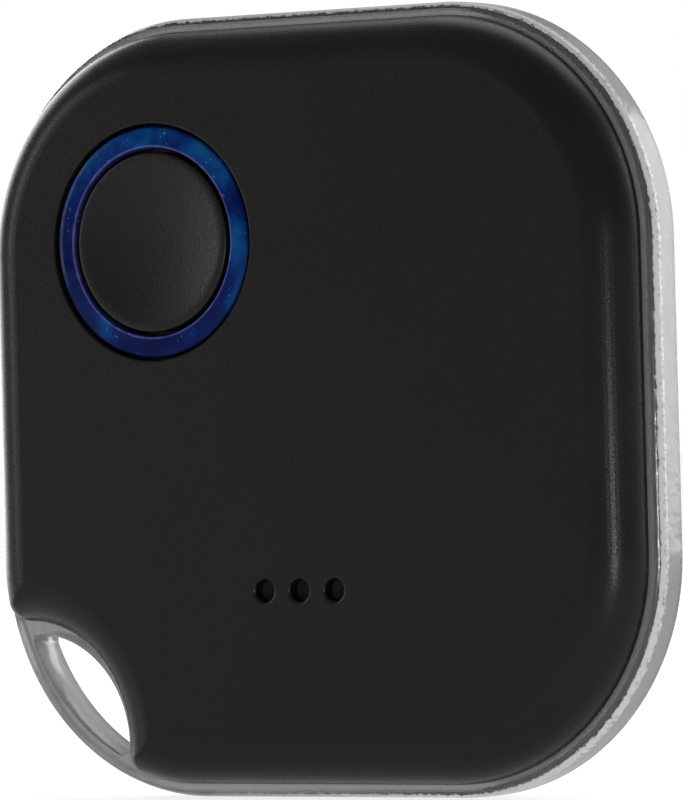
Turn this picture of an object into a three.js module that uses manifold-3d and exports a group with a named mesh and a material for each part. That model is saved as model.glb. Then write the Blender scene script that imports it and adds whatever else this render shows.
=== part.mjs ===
// Bluetooth tracker tag: a coin-cell button tag with a light ring, a buzzer and a key loop.
//
// Everything is drawn lying down, face up: x to the right, y towards the top edge, z from the
// rear cover's outside (z = 0) to the front face. The group at the end stands the tag upright
// on its lower edge, with its face towards -Y. All sizes are in millimetres.

import * as THREE from 'three';
import { mergeVertices } from 'three/addons/utils/BufferGeometryUtils.js';
import Module from 'manifold-3d';

// ---------------------------------------------------------------- case sizes
const TAG_SIDE = 36; // outside of the clear frame, both ways
const TAG_THICKNESS = 6;
const FRAME_CORNER = 10.95; // corner radius of the clear frame
const FRAME_REVEAL = 0.62; // how far the clear frame stands out past the two covers
const FRAME_FRONT_ROUND = 0.5;
const FRAME_REAR_ROUND = 0.3;
const FRONT_HEIGHT = 2.05; // front cover, from its lip to the face
const REAR_HEIGHT = 1.85; // rear cover, from its lip to the back
const FRONT_SHOULDER = 2.0; // radius of the soft edge round the face
const REAR_SHOULDER = 1.75;
const COVER_WALL = 1.0;
const FRONT_SKIN = 0.8;
const REAR_SKIN = 0.7;
const INNER_CHAMFER = 0.6; // where a cover's wall meets its skin, inside

// ---------------------------------------------------------------- key loop
const NOTCH_FROM_LEFT = 1.7; // centre of the covers' round notch, in from the frame's left side
const NOTCH_FROM_BELOW = 2.4; // and up from its lower edge
const NOTCH_RADIUS = 5.8;
const NOTCH_FILLET = 1.0; // where the notch meets the outer edge
const LOOP_BAR = 0.9; // width of the clear bar that closes the loop
const LOOP_END_ROUND = 0.35; // corners of the opening

// ---------------------------------------------------------------- clearances
const SEAM = 0.05; // between stacked pieces
const FIT = 0.1; // between pieces that slide in or sit inside one another

// ---------------------------------------------------------------- button and light ring
const BUTTON_FROM_EDGE = 10.34; // centre, in from the frame's left side and its top
const RING_OUTER = 5.33;
const RING_INNER = 4.28;
const RING_HOLE_GAP = 0.12; // from the ring to the hole in the front cover
const RING_FLANGE = 0.57; // the ring's foot, past its outside
const RING_FOOT_THICKNESS = 0.23;
const RING_SINK = 0.04; // the ring's crown below the face
const RING_EDGE = 0.12; // softening of the crown's edges
const RING_COLLAR = 0.5; // wall inside the front cover that centres the ring's foot
const BUTTON_GAP = 0.13; // from the button to the ring
const BUTTON_TRAVEL = 0.25;
const BUTTON_DISH = 0.28; // depth of the finger dish
const BUTTON_FLANGE = 0.42; // keeps the button behind the ring, past the ring's inside
const BUTTON_FLANGE_THICKNESS = 0.3;
const BUTTON_CROWN = 0.75; // thickness at the rim of the dish
const BUTTON_WALL = 0.7;
const BUTTON_RIM = 0.35; // flat rim round the dish
const BUTTON_EDGE = 0.15; // softening of the rim's outer edge
const BUTTON_SINK = 0.02; // the rim below the face
const BUTTON_POST_RADIUS = 0.8;
const LIGHT_PIPES = 4;
const LIGHT_PIPE_RADIUS = 0.5;

// ---------------------------------------------------------------- sound outlet and buzzer
const SOUND_HOLES = 3;
const SOUND_HOLE_RADIUS = 0.55;
const SOUND_HOLE_PITCH = 1.9;
const SOUND_HOLES_UP = 9.54; // from the frame's lower edge
const MESH_MARGIN = 0.65; // of the sound mesh past the holes
const MESH_THICKNESS = 0.1;
const BUZZER_OFFSET = [0.3, 2.16]; // centre, from the middle one of the sound holes
const BUZZER_RADIUS = 7.5;
const BUZZER_PLATE_THICKNESS = 0.15;
const BUZZER_GLUE_WIDTH = 0.8;
const BUZZER_GLUE_THICKNESS = 0.15;
const CERAMIC_RADIUS = 5.0;
const CERAMIC_THICKNESS = 0.15;
const LEAD_THICKNESS = 0.1;
const LEAD_WIDTH = 1.0;
const LEAD_PAD = 1.4; // soldered foot of a lead
const LEAD_RAMP = 1.2;
const LEAD_APART = 1.2; // each lead from the buzzer's middle line

// ---------------------------------------------------------------- coin cell, 20 x 3.2 mm
const CELL_RADIUS = 10;
const CELL_HEIGHT = 3.2;
const CELL_CAN_WALL = 0.25;
const CELL_EDGE = 0.3; // softening of the can's edge
const CELL_CAP_MARGIN = 1.3; // from the can's outside to the cap's flat top
const CELL_CAP_SKIRT = 0.8;
const CATHODE_SHARE = 0.7; // of the room inside the cell; the anode fills the rest
const CELL_CAP_DROP = 0.35; // from the cap's top to the can's rim
const CELL_GASKET = 0.55;
const CELL_POCKET_WALL = 0.7;
const CELL_POCKET_GAP = 0.15;
const CONTACT_THICKNESS = 0.15;
const CONTACT_WIDTH = 3.4;
const CONTACT_FOOT = 1.6; // soldered length
const POSITIVE_TIP = 1.0; // from the cell's rear to the end of the positive leaf
const FILM_THICKNESS = 0.1;

// ---------------------------------------------------------------- circuit board and switch
const BOARD_THICKNESS = 0.8;
const BOARD_SINK = 0.2; // the board's front side below the cell's front
const SWITCH_LENGTH = 4.0;
const SWITCH_WIDTH = 3.0;
const SWITCH_HEIGHT = 0.6;
const SWITCH_WELL = 1.35;
const SWITCH_FLOOR = 0.14;
const SHELL_NARROWER = 0.6; // than the switch's base
const SHELL_THICKNESS = 0.1;
const PLUNGER_RADIUS = 0.7;
const PLUNGER_FOOT_RADIUS = 1.0;
const PLUNGER_FOOT_THICKNESS = 0.15;
const DOME_RADIUS = 1.25;
const DOME_HEIGHT = 0.2;
const DOME_THICKNESS = 0.06;
const SOLDER_GAP = 0.04; // from the board to what is soldered to it
const PIPE_GAP = 0.08; // from a light pipe to its LED
const LED_SIZE = [1.6, 0.8, 0.36];

// ---------------------------------------------------------------- inner carrier and catches
const CARRIER_WALL = 0.9;
const CARRIER_END_GAP = 0.65; // from a cover's skin to the carrier's edge
const RIB_WIDTH = 0.8;
const STAKE_RADIUS = 0.5;
const STAKE_HEAD = 0.85;
const STAKE_HEAD_THICKNESS = 0.3;
const STAKE_FROM_WALL = 4.5;
const CELL_TAB_REACH = 0.6;
const CELL_TAB_THICKNESS = 0.22;
const CELL_TAB_WIDTH = 2.6;
const CELL_TAB_ANGLES = [-100, -10, 60]; // round the cell, from +x towards +y
const TONGUE_WIDTH = 4.0;
const TONGUE_THICKNESS = 0.8;
const TONGUE_PAST_LIP = 0.3;
const PRY_SLOT = [5.0, 0.45, 0.5]; // length, depth into the wall, height

// ---------------------------------------------------------------- facets
const CORNER_STEPS = 9;
const NOTCH_STEPS = 12;
const FILLET_STEPS = 3;
const TAIL_STEPS = 2;
const SHOULDER_STEPS = 5;
const ROUND_STEPS = 3;
const DISH_STEPS = 4;
const DISC_STEPS = 40;
const SMALL_DISC_STEPS = 20;

// ---------------------------------------------------------------- worked-out places
const FRAME_HALF = TAG_SIDE / 2;
const COVER_HALF = FRAME_HALF - FRAME_REVEAL;
const COVER_CORNER = FRAME_CORNER - FRAME_REVEAL;
const NOTCH = new THREE.Vector2(NOTCH_FROM_LEFT - FRAME_HALF, NOTCH_FROM_BELOW - FRAME_HALF);
const BUTTON = [BUTTON_FROM_EDGE - FRAME_HALF, FRAME_HALF - BUTTON_FROM_EDGE];
const SOUND_HOLE_Y = SOUND_HOLES_UP - FRAME_HALF;
const BUZZER = [BUZZER_OFFSET[0], SOUND_HOLE_Y + BUZZER_OFFSET[1]];
const FRONT_LIP = TAG_THICKNESS - FRONT_HEIGHT;
const FRONT_INSIDE = TAG_THICKNESS - FRONT_SKIN;
const FRAME_REAR = REAR_HEIGHT + SEAM;
const FRAME_FRONT = FRONT_LIP - SEAM;
const CARRIER_REAR = REAR_SKIN + CARRIER_END_GAP;
const CARRIER_FRONT = FRONT_INSIDE - CARRIER_END_GAP - FIT;
const CARRIER_INSET = COVER_WALL + FIT;
const CARRIER_INSIDE = CARRIER_INSET + CARRIER_WALL;
const CELL_REAR = REAR_SKIN + FIT;
const CELL_FRONT = CELL_REAR + CELL_HEIGHT;
const CELL_CAP_RADIUS = CELL_RADIUS - CELL_CAP_MARGIN;
const POCKET_RADIUS = CELL_RADIUS + CELL_POCKET_GAP;
const POCKET_OUTSIDE = POCKET_RADIUS + CELL_POCKET_WALL;
const POCKET_FRONT = CELL_FRONT - SEAM;
const CELL_X = COVER_HALF - CARRIER_INSIDE - POCKET_OUTSIDE; // the pocket meets the wall at the
const CELL_Y = -CELL_X; // right and below
const CELL = [CELL_X, CELL_Y];
const BOARD_FRONT = CELL_FRONT - BOARD_SINK;
const BOARD_REAR = BOARD_FRONT - BOARD_THICKNESS;
const BOARD_INSET = CARRIER_INSIDE + FIT;
const BOARD_HALF = COVER_HALF - BOARD_INSET;
const BOARD_POCKET = POCKET_OUTSIDE + 2 * FIT;
const GLUE_FRONT = FRONT_INSIDE - SEAM;
const PLATE_FRONT = GLUE_FRONT - BUZZER_GLUE_THICKNESS - SEAM;
const CERAMIC_FRONT = PLATE_FRONT - BUZZER_PLATE_THICKNESS - SEAM / 2;
const NEGATIVE_REAR = CELL_FRONT + SEAM;
const FILM_REAR = NEGATIVE_REAR + CONTACT_THICKNESS + SEAM;
const RING_FOOT_FRONT = FRONT_INSIDE - SEAM;
const RING_FOOT_REAR = RING_FOOT_FRONT - RING_FOOT_THICKNESS;
const SWITCH_REAR = BOARD_FRONT + SOLDER_GAP;
const SWITCH_FRONT = SWITCH_REAR + SWITCH_HEIGHT;
const PLUNGER_FRONT = SWITCH_FRONT + SHELL_THICKNESS + SEAM + BUTTON_TRAVEL + SEAM;
const PLUNGER_FOOT_REAR = SWITCH_FRONT - PLUNGER_FOOT_THICKNESS - SEAM / 2;
const PIPE_CIRCLE = (RING_OUTER + RING_INNER) / 2;
const PIPE_END = BOARD_FRONT + SOLDER_GAP + LED_SIZE[2] + PIPE_GAP;
const MIDDLE = [0, 0];

// ---------------------------------------------------------------- materials
const BLACK = plastic(0x212121, 0.62);
const RING_BLUE = plastic(0x0a2a78, 0.15);
const CLEAR = plastic(0xc8ccce, 0.08);
const NATURAL = plastic(0xe2e2dc, 0.5);
const SOLDER_MASK = plastic(0x123c24, 0.4);
const PACKAGE = plastic(0x1b1b1d, 0.5);
const CERAMIC = plastic(0xd9cdb4, 0.6);
const LED_BODY = plastic(0xf2efe4, 0.3);
const FILM = plastic(0xc79a3a, 0.3);
const CELL_PLASTIC = plastic(0x2c2f33, 0.5);
const FELT = plastic(0x101012, 0.9);
const STEEL = metal(0xc3c5c7, 0.3);
const BRASS = metal(0xb98f45, 0.35);
const GOLD = metal(0xc9a455, 0.3);

function plastic(color, roughness) {
  return new THREE.MeshStandardMaterial({ color, roughness, metalness: 0 });
}

function metal(color, roughness) {
  return new THREE.MeshStandardMaterial({ color, roughness, metalness: 1 });
}

// ---------------------------------------------------------------- solids
const wasm = await Module();
wasm.setup();

function solid(geometry) {
  const bare = geometry.index ? geometry.toNonIndexed() : geometry.clone();
  bare.deleteAttribute('normal');
  bare.deleteAttribute('uv');
  const merged = mergeVertices(bare, 1e-5);
  return new wasm.Manifold(new wasm.Mesh({
    numProp: 3,
    vertProperties: new Float32Array(merged.attributes.position.array),
    triVerts: new Uint32Array(merged.index.array),
  }));
}

function cut(body, ...tools) {
  return tools.reduce((left, tool) => left.subtract(tool), body);
}

function join(body, ...others) {
  return others.reduce((whole, other) => whole.add(other), body);
}

function prism(points, low, high) {
  const options = { depth: high - low, bevelEnabled: false };
  const geometry = new THREE.ExtrudeGeometry(new THREE.Shape(points), options);
  return solid(geometry.translate(0, 0, low));
}

function block([x0, x1], [y0, y1], [z0, z1]) {
  const geometry = new THREE.BoxGeometry(x1 - x0, y1 - y0, z1 - z0);
  return solid(geometry.translate((x0 + x1) / 2, (y0 + y1) / 2, (z0 + z1) / 2));
}

function disc([x, y], radius, low, high, steps = DISC_STEPS) {
  return prism(arc(new THREE.Vector2(x, y), radius, 0, 2 * Math.PI, steps).slice(0, -1), low, high);
}

// A turned piece: its profile runs as [radius, height] pairs, anticlockwise with the axis at the left.
function turned([x, y], profile, steps = DISC_STEPS) {
  const points = profile.map(([radius, height]) => new THREE.Vector2(radius, height));
  const closed = profile[0][0] === 0 ? points : [...points, points[0].clone()];
  const geometry = new THREE.LatheGeometry(closed, steps);
  return solid(geometry.rotateX(Math.PI / 2).translate(x, y, 0));
}

// A stack of outlines with the same number of points each, skinned and capped at both ends.
function loft(rows) {
  const count = rows[0].outline.length;
  const positions = rows.flatMap(({ outline, z }) => outline.flatMap((p) => [p.x, p.y, z]));
  const index = [];
  for (let row = 0; row + 1 < rows.length; row += 1) {
    for (let i = 0; i < count; i += 1) {
      const a = row * count + i;
      const b = row * count + ((i + 1) % count);
      index.push(a, b, b + count, a, b + count, a + count);
    }
  }
  const top = (rows.length - 1) * count;
  for (const [a, b, c] of THREE.ShapeUtils.triangulateShape(rows[0].outline, [])) {
    index.push(a, c, b);
  }
  for (const [a, b, c] of THREE.ShapeUtils.triangulateShape(rows[rows.length - 1].outline, [])) {
    index.push(top + a, top + b, top + c);
  }
  const geometry = new THREE.BufferGeometry();
  geometry.setAttribute('position', new THREE.Float32BufferAttribute(positions, 3));
  geometry.setIndex(index);
  return solid(geometry);
}

// ---------------------------------------------------------------- outlines
function arc(centre, radius, from, to, steps) {
  return Array.from({ length: steps + 1 }, (_, i) => {
    const angle = from + ((to - from) * i) / steps;
    return new THREE.Vector2(
      centre.x + radius * Math.cos(angle),
      centre.y + radius * Math.sin(angle),
    );
  });
}

function angleTo(from, to) {
  return Math.atan2(to.y - from.y, to.x - from.x);
}

// The same direction as angle, counted on from start by less than a full turn.
function after(angle, start) {
  const turn = 2 * Math.PI;
  return start + ((((angle - start) % turn) + turn) % turn);
}

// The two points at distance a from centre p and b from centre q: the one on the left of p to q first.
function meetCircles(p, a, q, b) {
  const span = p.distanceTo(q);
  const along = (a * a - b * b + span * span) / (2 * span);
  const aside = Math.sqrt(a * a - along * along);
  const way = q.clone().sub(p).divideScalar(span);
  const foot = p.clone().addScaledVector(way, along);
  const left = new THREE.Vector2(-way.y, way.x);
  return [
    foot.clone().addScaledVector(left, aside),
    foot.clone().addScaledVector(left, -aside),
  ];
}

function squareOutline(half, corner) {
  const c = half - corner;
  const quarter = Math.PI / 2;
  return [[c, c], [-c, c], [-c, -c], [c, -c]].flatMap(([x, y], k) => (
    arc(new THREE.Vector2(x, y), corner, quarter * k, quarter * (k + 1), CORNER_STEPS)
  ));
}

// Where the fillet between the left edge and the notch sits: its centre, the way it touches the
// edge, and the points that lead to it down the edge.
function filletOnLeft(half, corner, notch, notchRadius, fillet) {
  const c = half - corner;
  const x = -half + fillet;
  const rise = Math.sqrt((notchRadius + fillet) ** 2 - (x - notch.x) ** 2);
  const straight = new THREE.Vector2(x, notch.y + rise);
  if (straight.y >= -c) {
    const lead = Array.from({ length: TAIL_STEPS }, (_, i) => (
      new THREE.Vector2(-half, c + ((straight.y - c) * (i + 1)) / (TAIL_STEPS + 1))
    ));
    return { centre: straight, touch: Math.PI, lead };
  }
  const middle = new THREE.Vector2(-c, -c);
  const pair = meetCircles(middle, corner - fillet, notch, notchRadius + fillet);
  const centre = pair[0].x < pair[1].x ? pair[0] : pair[1];
  const touch = after(angleTo(middle, centre), 0);
  const lead = arc(middle, corner, Math.PI, touch, TAIL_STEPS).slice(0, -1);
  return { centre, touch, lead };
}

function swapped(point) {
  return new THREE.Vector2(point.y, point.x);
}

// The covers' outline, moved inwards by inset: a rounded square with the key loop's notch in its
// lower left corner. Every inset gives the same number of points.
function caseOutline(inset) {
  const half = COVER_HALF - inset;
  const corner = COVER_CORNER - inset;
  const radius = NOTCH_RADIUS + inset;
  const fillet = Math.max(NOTCH_FILLET - inset, NOTCH_FILLET / 8);
  const c = half - corner;
  const quarter = Math.PI / 2;
  const left = filletOnLeft(half, corner, NOTCH, radius, fillet);
  const low = filletOnLeft(half, corner, swapped(NOTCH), radius, fillet);
  const lowCentre = swapped(low.centre);
  const lowTouch = 3 * quarter - (low.touch - Math.PI);
  const into = angleTo(left.centre, NOTCH);
  const outOf = angleTo(lowCentre, NOTCH);
  return [
    ...arc(new THREE.Vector2(c, -c), corner, -quarter, 0, CORNER_STEPS),
    ...arc(new THREE.Vector2(c, c), corner, 0, quarter, CORNER_STEPS),
    ...arc(new THREE.Vector2(-c, c), corner, quarter, 2 * quarter, CORNER_STEPS),
    ...left.lead,
    ...arc(left.centre, fillet, left.touch, after(into, left.touch), FILLET_STEPS),
    ...arc(NOTCH, radius, angleTo(NOTCH, left.centre), angleTo(NOTCH, lowCentre), NOTCH_STEPS)
      .slice(1, -1),
    ...arc(lowCentre, fillet, outOf, after(lowTouch, outOf), FILLET_STEPS),
    ...low.lead.map(swapped).reverse(),
  ];
}

// The key loop's opening, between the bar at the frame's corner and the notch.
function loopOutline() {
  const c = FRAME_HALF - FRAME_CORNER;
  const middle = new THREE.Vector2(-c, -c);
  const barInside = FRAME_CORNER - LOOP_BAR;
  const notchSide = NOTCH_RADIUS - FRAME_REVEAL;
  const [a, b] = meetCircles(middle, barInside - LOOP_END_ROUND, NOTCH, notchSide - LOOP_END_ROUND);
  const [upper, lower] = a.y > b.y ? [a, b] : [b, a];
  const barFrom = after(angleTo(middle, upper), 0);
  const barTo = after(angleTo(middle, lower), barFrom);
  const notchFrom = angleTo(NOTCH, lower);
  const notchTo = after(angleTo(NOTCH, upper), notchFrom);
  return [
    ...arc(middle, barInside, barFrom, barTo, NOTCH_STEPS),
    ...arc(lower, LOOP_END_ROUND, barTo, after(notchFrom, barTo), FILLET_STEPS).slice(1),
    ...arc(NOTCH, notchSide, notchFrom, notchTo, NOTCH_STEPS).slice(1),
    ...arc(upper, LOOP_END_ROUND, notchTo, after(barFrom, notchTo), FILLET_STEPS).slice(1, -1),
  ];
}

// ---------------------------------------------------------------- covers
function shoulderRows(shoulder, steps, height) {
  return Array.from({ length: steps + 1 }, (_, i) => {
    const angle = (Math.PI / 2) * (i / steps);
    const inset = shoulder * (1 - Math.cos(angle));
    return { outline: caseOutline(inset), z: height(shoulder * (1 - Math.sin(angle))) };
  });
}

function coverInside(lip, inside) {
  const past = Math.sign(lip - inside) * SEAM;
  const bend = inside + Math.sign(lip - inside) * INNER_CHAMFER;
  const rows = [
    { outline: caseOutline(COVER_WALL), z: lip + past },
    { outline: caseOutline(COVER_WALL), z: bend },
    { outline: caseOutline(COVER_WALL + INNER_CHAMFER), z: inside },
  ];
  return loft(lip < inside ? rows : rows.reverse());
}

function soundHoleCentres() {
  return Array.from({ length: SOUND_HOLES }, (_, i) => (
    [(i - (SOUND_HOLES - 1) / 2) * SOUND_HOLE_PITCH, SOUND_HOLE_Y]
  ));
}

function slotOutline(margin) {
  const reach = ((SOUND_HOLES - 1) / 2) * SOUND_HOLE_PITCH;
  const radius = SOUND_HOLE_RADIUS + margin;
  const quarter = Math.PI / 2;
  return [
    ...arc(new THREE.Vector2(reach, SOUND_HOLE_Y), radius, -quarter, quarter, SMALL_DISC_STEPS / 2),
    ...arc(new THREE.Vector2(-reach, SOUND_HOLE_Y), radius, quarter, 3 * quarter, SMALL_DISC_STEPS / 2),
  ];
}

function frontCover() {
  const outside = loft([
    { outline: caseOutline(0), z: FRONT_LIP },
    ...shoulderRows(FRONT_SHOULDER, SHOULDER_STEPS, (down) => TAG_THICKNESS - down),
  ]);
  const footRoom = RING_OUTER + RING_FLANGE + FIT;
  const collar = cut(
    disc(BUTTON, footRoom + RING_COLLAR, RING_FOOT_REAR - FIT, FRONT_INSIDE + SEAM),
    disc(BUTTON, footRoom, 0, FRONT_INSIDE),
  );
  const shell = join(cut(outside, coverInside(FRONT_LIP, FRONT_INSIDE)), collar);
  const ringHole = disc(BUTTON, RING_OUTER + RING_HOLE_GAP, 0, TAG_THICKNESS + 1);
  const meshRecess = prism(
    slotOutline(MESH_MARGIN + FIT / 2), FRONT_INSIDE - 1, FRONT_INSIDE + MESH_THICKNESS + SEAM,
  );
  const holes = soundHoleCentres().map((at) => (
    disc(at, SOUND_HOLE_RADIUS, FRONT_LIP, TAG_THICKNESS + 1, SMALL_DISC_STEPS)
  ));
  return cut(shell, ringHole, meshRecess, ...holes);
}

// The four sides of the case, each as a way to turn a piece drawn at the right-hand side.
function onEachSide(piece) {
  return [0, 1, 2, 3].map((k) => piece.rotate([0, 0, 90 * k]));
}

function tongue(gap) {
  const outer = COVER_HALF - COVER_WALL - FIT + gap;
  const half = TONGUE_WIDTH / 2 + gap;
  return block(
    [outer - TONGUE_THICKNESS - 2 * gap, outer],
    [-half, half],
    [REAR_SKIN - SEAM, REAR_HEIGHT + TONGUE_PAST_LIP + gap],
  );
}

function rearCover() {
  const outside = loft([
    ...shoulderRows(REAR_SHOULDER, SHOULDER_STEPS, (up) => up).reverse(),
    { outline: caseOutline(0), z: REAR_HEIGHT },
  ]);
  const [length, depth, height] = PRY_SLOT;
  const prySlot = block(
    [-FRAME_HALF, depth - COVER_HALF],
    [-length / 2, length / 2],
    [REAR_HEIGHT - height, REAR_HEIGHT + SEAM],
  );
  const shell = cut(outside, coverInside(REAR_HEIGHT, REAR_SKIN), prySlot);
  return join(shell, ...onEachSide(tongue(0)));
}

// ---------------------------------------------------------------- clear frame with the key loop
function clearFrame() {
  const rounded = (radius, z, out, steps) => Array.from({ length: steps + 1 }, (_, i) => {
    const angle = (Math.PI / 2) * (i / steps);
    const inset = radius * (1 - Math.sin(angle));
    return {
      outline: squareOutline(FRAME_HALF - inset, FRAME_CORNER - inset),
      z: z + out * radius * (Math.cos(angle) - 1),
    };
  });
  const outside = loft([
    ...rounded(FRAME_REAR_ROUND, FRAME_REAR, -1, ROUND_STEPS),
    ...rounded(FRAME_FRONT_ROUND, FRAME_FRONT, 1, ROUND_STEPS).reverse(),
  ]);
  return cut(
    outside,
    prism(caseOutline(COVER_WALL), 0, TAG_THICKNESS),
    prism(loopOutline(), 0, TAG_THICKNESS),
  );
}

// ---------------------------------------------------------------- inner carrier
// Where the board is staked to the carrier: on the ribs between the cell's pocket and the wall.
function stakePlaces() {
  const wall = COVER_HALF - CARRIER_INSIDE;
  return [
    [CELL_X, wall - STAKE_FROM_WALL],
    [STAKE_FROM_WALL - wall, CELL_Y],
  ];
}

function cellDisc(radius, low, high) {
  return disc(CELL, radius, low, high);
}

function ribs() {
  const reach = COVER_HALF - CARRIER_INSIDE + CARRIER_WALL / 2;
  const top = BOARD_REAR - SEAM;
  const half = RIB_WIDTH / 2 + STAKE_RADIUS / 2;
  const levels = [CARRIER_REAR, top];
  return [
    block([CELL_X - half, CELL_X + half], [CELL_Y + POCKET_RADIUS, reach], levels),
    block([-reach, CELL_X - POCKET_RADIUS], [CELL_Y - half, CELL_Y + half], levels),
  ];
}

// Short walls that tie the pocket to the outer wall where the two run close together.
function webs() {
  const reach = COVER_HALF - CARRIER_INSIDE + CARRIER_WALL / 2;
  const half = TONGUE_WIDTH / 2 + FIT;
  const levels = [CARRIER_REAR, POCKET_FRONT];
  const inner = CELL_RADIUS * 0.9;
  return [
    block([CELL_X + inner, reach], [CELL_Y - half, CELL_Y + half], levels),
    block([CELL_X - half, CELL_X + half], [-reach, CELL_Y - inner], levels),
  ];
}

function cellTabs() {
  const ring = cut(
    cellDisc(POCKET_OUTSIDE, POCKET_FRONT - SEAM, CELL_FRONT + SEAM + CELL_TAB_THICKNESS),
    cellDisc(CELL_RADIUS - CELL_TAB_REACH, 0, TAG_THICKNESS),
  );
  const half = CELL_TAB_WIDTH / 2;
  return CELL_TAB_ANGLES.map((angle) => {
    const wedge = block([CELL_RADIUS / 2, 2 * CELL_RADIUS], [-half, half], [0, TAG_THICKNESS]);
    return ring.intersect(wedge.rotate([0, 0, angle]).translate([CELL_X, CELL_Y, 0]));
  });
}

function innerCarrier() {
  const wall = cut(
    prism(caseOutline(CARRIER_INSET), CARRIER_REAR, CARRIER_FRONT),
    prism(caseOutline(CARRIER_INSIDE), 0, TAG_THICKNESS),
  );
  const pocket = cellDisc(POCKET_OUTSIDE, CARRIER_REAR, POCKET_FRONT);
  const hollow = cellDisc(POCKET_RADIUS, 0, CELL_FRONT + SEAM);
  const body = cut(join(wall, pocket, ...ribs(), ...webs(), ...cellTabs()), hollow);
  const stakes = stakePlaces().flatMap((at) => [
    disc(at, STAKE_RADIUS, BOARD_REAR - 2 * SEAM, BOARD_FRONT + 2 * SEAM, SMALL_DISC_STEPS),
    disc(at, STAKE_HEAD, BOARD_FRONT + SEAM, BOARD_FRONT + SEAM + STAKE_HEAD_THICKNESS,
      SMALL_DISC_STEPS),
  ]);
  const window = contactWindow();
  const slots = onEachSide(tongue(FIT));
  return cut(join(body, ...stakes), window, ...slots);
}

// ---------------------------------------------------------------- contacts
const POSITIVE_ANGLE = 152; // round the cell, from +x towards +y
const NEGATIVE_ANGLE = 112;

function strip(profile, width, angle, [x, y]) {
  const outline = profile.map(([r, z]) => new THREE.Vector2(r, z));
  const geometry = new THREE.ExtrudeGeometry(new THREE.Shape(outline), {
    depth: width,
    bevelEnabled: false,
  });
  geometry.translate(0, 0, -width / 2).rotateX(Math.PI / 2);
  return solid(geometry).rotate([0, 0, angle]).translate([x, y, 0]);
}

function contactWindow() {
  const half = CONTACT_WIDTH / 2 + 2 * FIT;
  const opening = block([CELL_RADIUS / 2, POCKET_OUTSIDE + FIT], [-half, half],
    [CARRIER_REAR - 1, CELL_FRONT + 1]);
  return opening.rotate([0, 0, POSITIVE_ANGLE]).translate([CELL_X, CELL_Y, 0]);
}

function positiveContact() {
  const inner = CELL_RADIUS + FIT;
  const foot = BOARD_POCKET + CONTACT_FOOT;
  const low = BOARD_FRONT + SOLDER_GAP;
  const high = low + CONTACT_THICKNESS;
  const tip = CELL_REAR + POSITIVE_TIP;
  return strip([
    [inner, tip],
    [inner + CONTACT_THICKNESS, tip],
    [inner + CONTACT_THICKNESS, low],
    [foot, low],
    [foot, high],
    [inner, high],
  ], CONTACT_WIDTH, POSITIVE_ANGLE, CELL);
}

function negativeContact() {
  const t = CONTACT_THICKNESS;
  const padLow = BOARD_FRONT + SOLDER_GAP;
  const padIn = BOARD_POCKET + 2 * CONTACT_THICKNESS;
  const padOut = padIn + CONTACT_FOOT;
  const bend = POCKET_OUTSIDE;
  const tip = CELL_CAP_RADIUS / 3;
  return strip([
    [padOut, padLow],
    [padOut, padLow + t],
    [padIn, padLow + t],
    [bend, NEGATIVE_REAR + t],
    [tip, NEGATIVE_REAR + t],
    [tip, NEGATIVE_REAR],
    [bend, NEGATIVE_REAR],
    [padIn, padLow],
  ].reverse(), CONTACT_WIDTH, NEGATIVE_ANGLE, CELL);
}

// A spring lead from the board up to the rear side of a buzzer layer, ending reach short of its middle.
function buzzerLead(reach, layerRear, offset) {
  const t = LEAD_THICKNESS;
  const padLow = BOARD_FRONT + SOLDER_GAP;
  const top = layerRear - SEAM;
  const pad = Math.max(BUZZER_RADIUS, BUZZER[0] - CELL_X + BOARD_POCKET) + LEAD_RAMP - 2 * FIT;
  return strip([
    [pad + LEAD_PAD, padLow],
    [pad + LEAD_PAD, padLow + t],
    [pad, padLow + t],
    [pad - LEAD_RAMP, top],
    [reach, top],
    [reach, top - t],
    [pad - LEAD_RAMP, top - t],
    [pad, padLow],
  ].reverse(), LEAD_WIDTH, 180, [BUZZER[0], BUZZER[1] + offset]);
}

// ---------------------------------------------------------------- coin cell
function cellCan() {
  const rim = CELL_FRONT - CELL_CAP_DROP;
  const inner = CELL_RADIUS - CELL_CAN_WALL;
  return turned(CELL, [
    [0, CELL_REAR],
    [CELL_RADIUS - CELL_EDGE, CELL_REAR],
    [CELL_RADIUS, CELL_REAR + CELL_EDGE],
    [CELL_RADIUS, rim - CELL_EDGE / 2],
    [CELL_RADIUS - CELL_EDGE / 2, rim],
    [inner, rim],
    [inner, CELL_REAR + CELL_CAN_WALL],
    [0, CELL_REAR + CELL_CAN_WALL],
  ]);
}

function cellGasket() {
  const outer = CELL_RADIUS - CELL_CAN_WALL - SEAM;
  const low = CELL_REAR + CELL_CAN_WALL + SEAM;
  const high = CELL_FRONT - CELL_CAP_DROP;
  return turned(CELL, [
    [outer - CELL_GASKET, low],
    [outer, low],
    [outer, high],
    [outer - CELL_GASKET, high],
  ]);
}

function cellCap() {
  const outer = CELL_RADIUS - CELL_CAN_WALL - CELL_GASKET - 2 * SEAM;
  const skirtTop = CELL_FRONT - CELL_CAP_DROP;
  const t = CELL_CAN_WALL;
  const skirtLow = skirtTop - CELL_CAP_SKIRT;
  return turned(CELL, [
    [outer - t, skirtLow],
    [outer, skirtLow],
    [outer, skirtTop],
    [CELL_CAP_RADIUS, CELL_FRONT],
    [0, CELL_FRONT],
    [0, CELL_FRONT - t],
    [CELL_CAP_RADIUS - t / 2, CELL_FRONT - t],
    [outer - t, skirtTop - t],
  ]);
}

function cellLayer(low, high) {
  const radius = CELL_CAP_RADIUS - CELL_CAN_WALL / 2 - 2 * SEAM;
  return cellDisc(radius, low, high);
}

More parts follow.
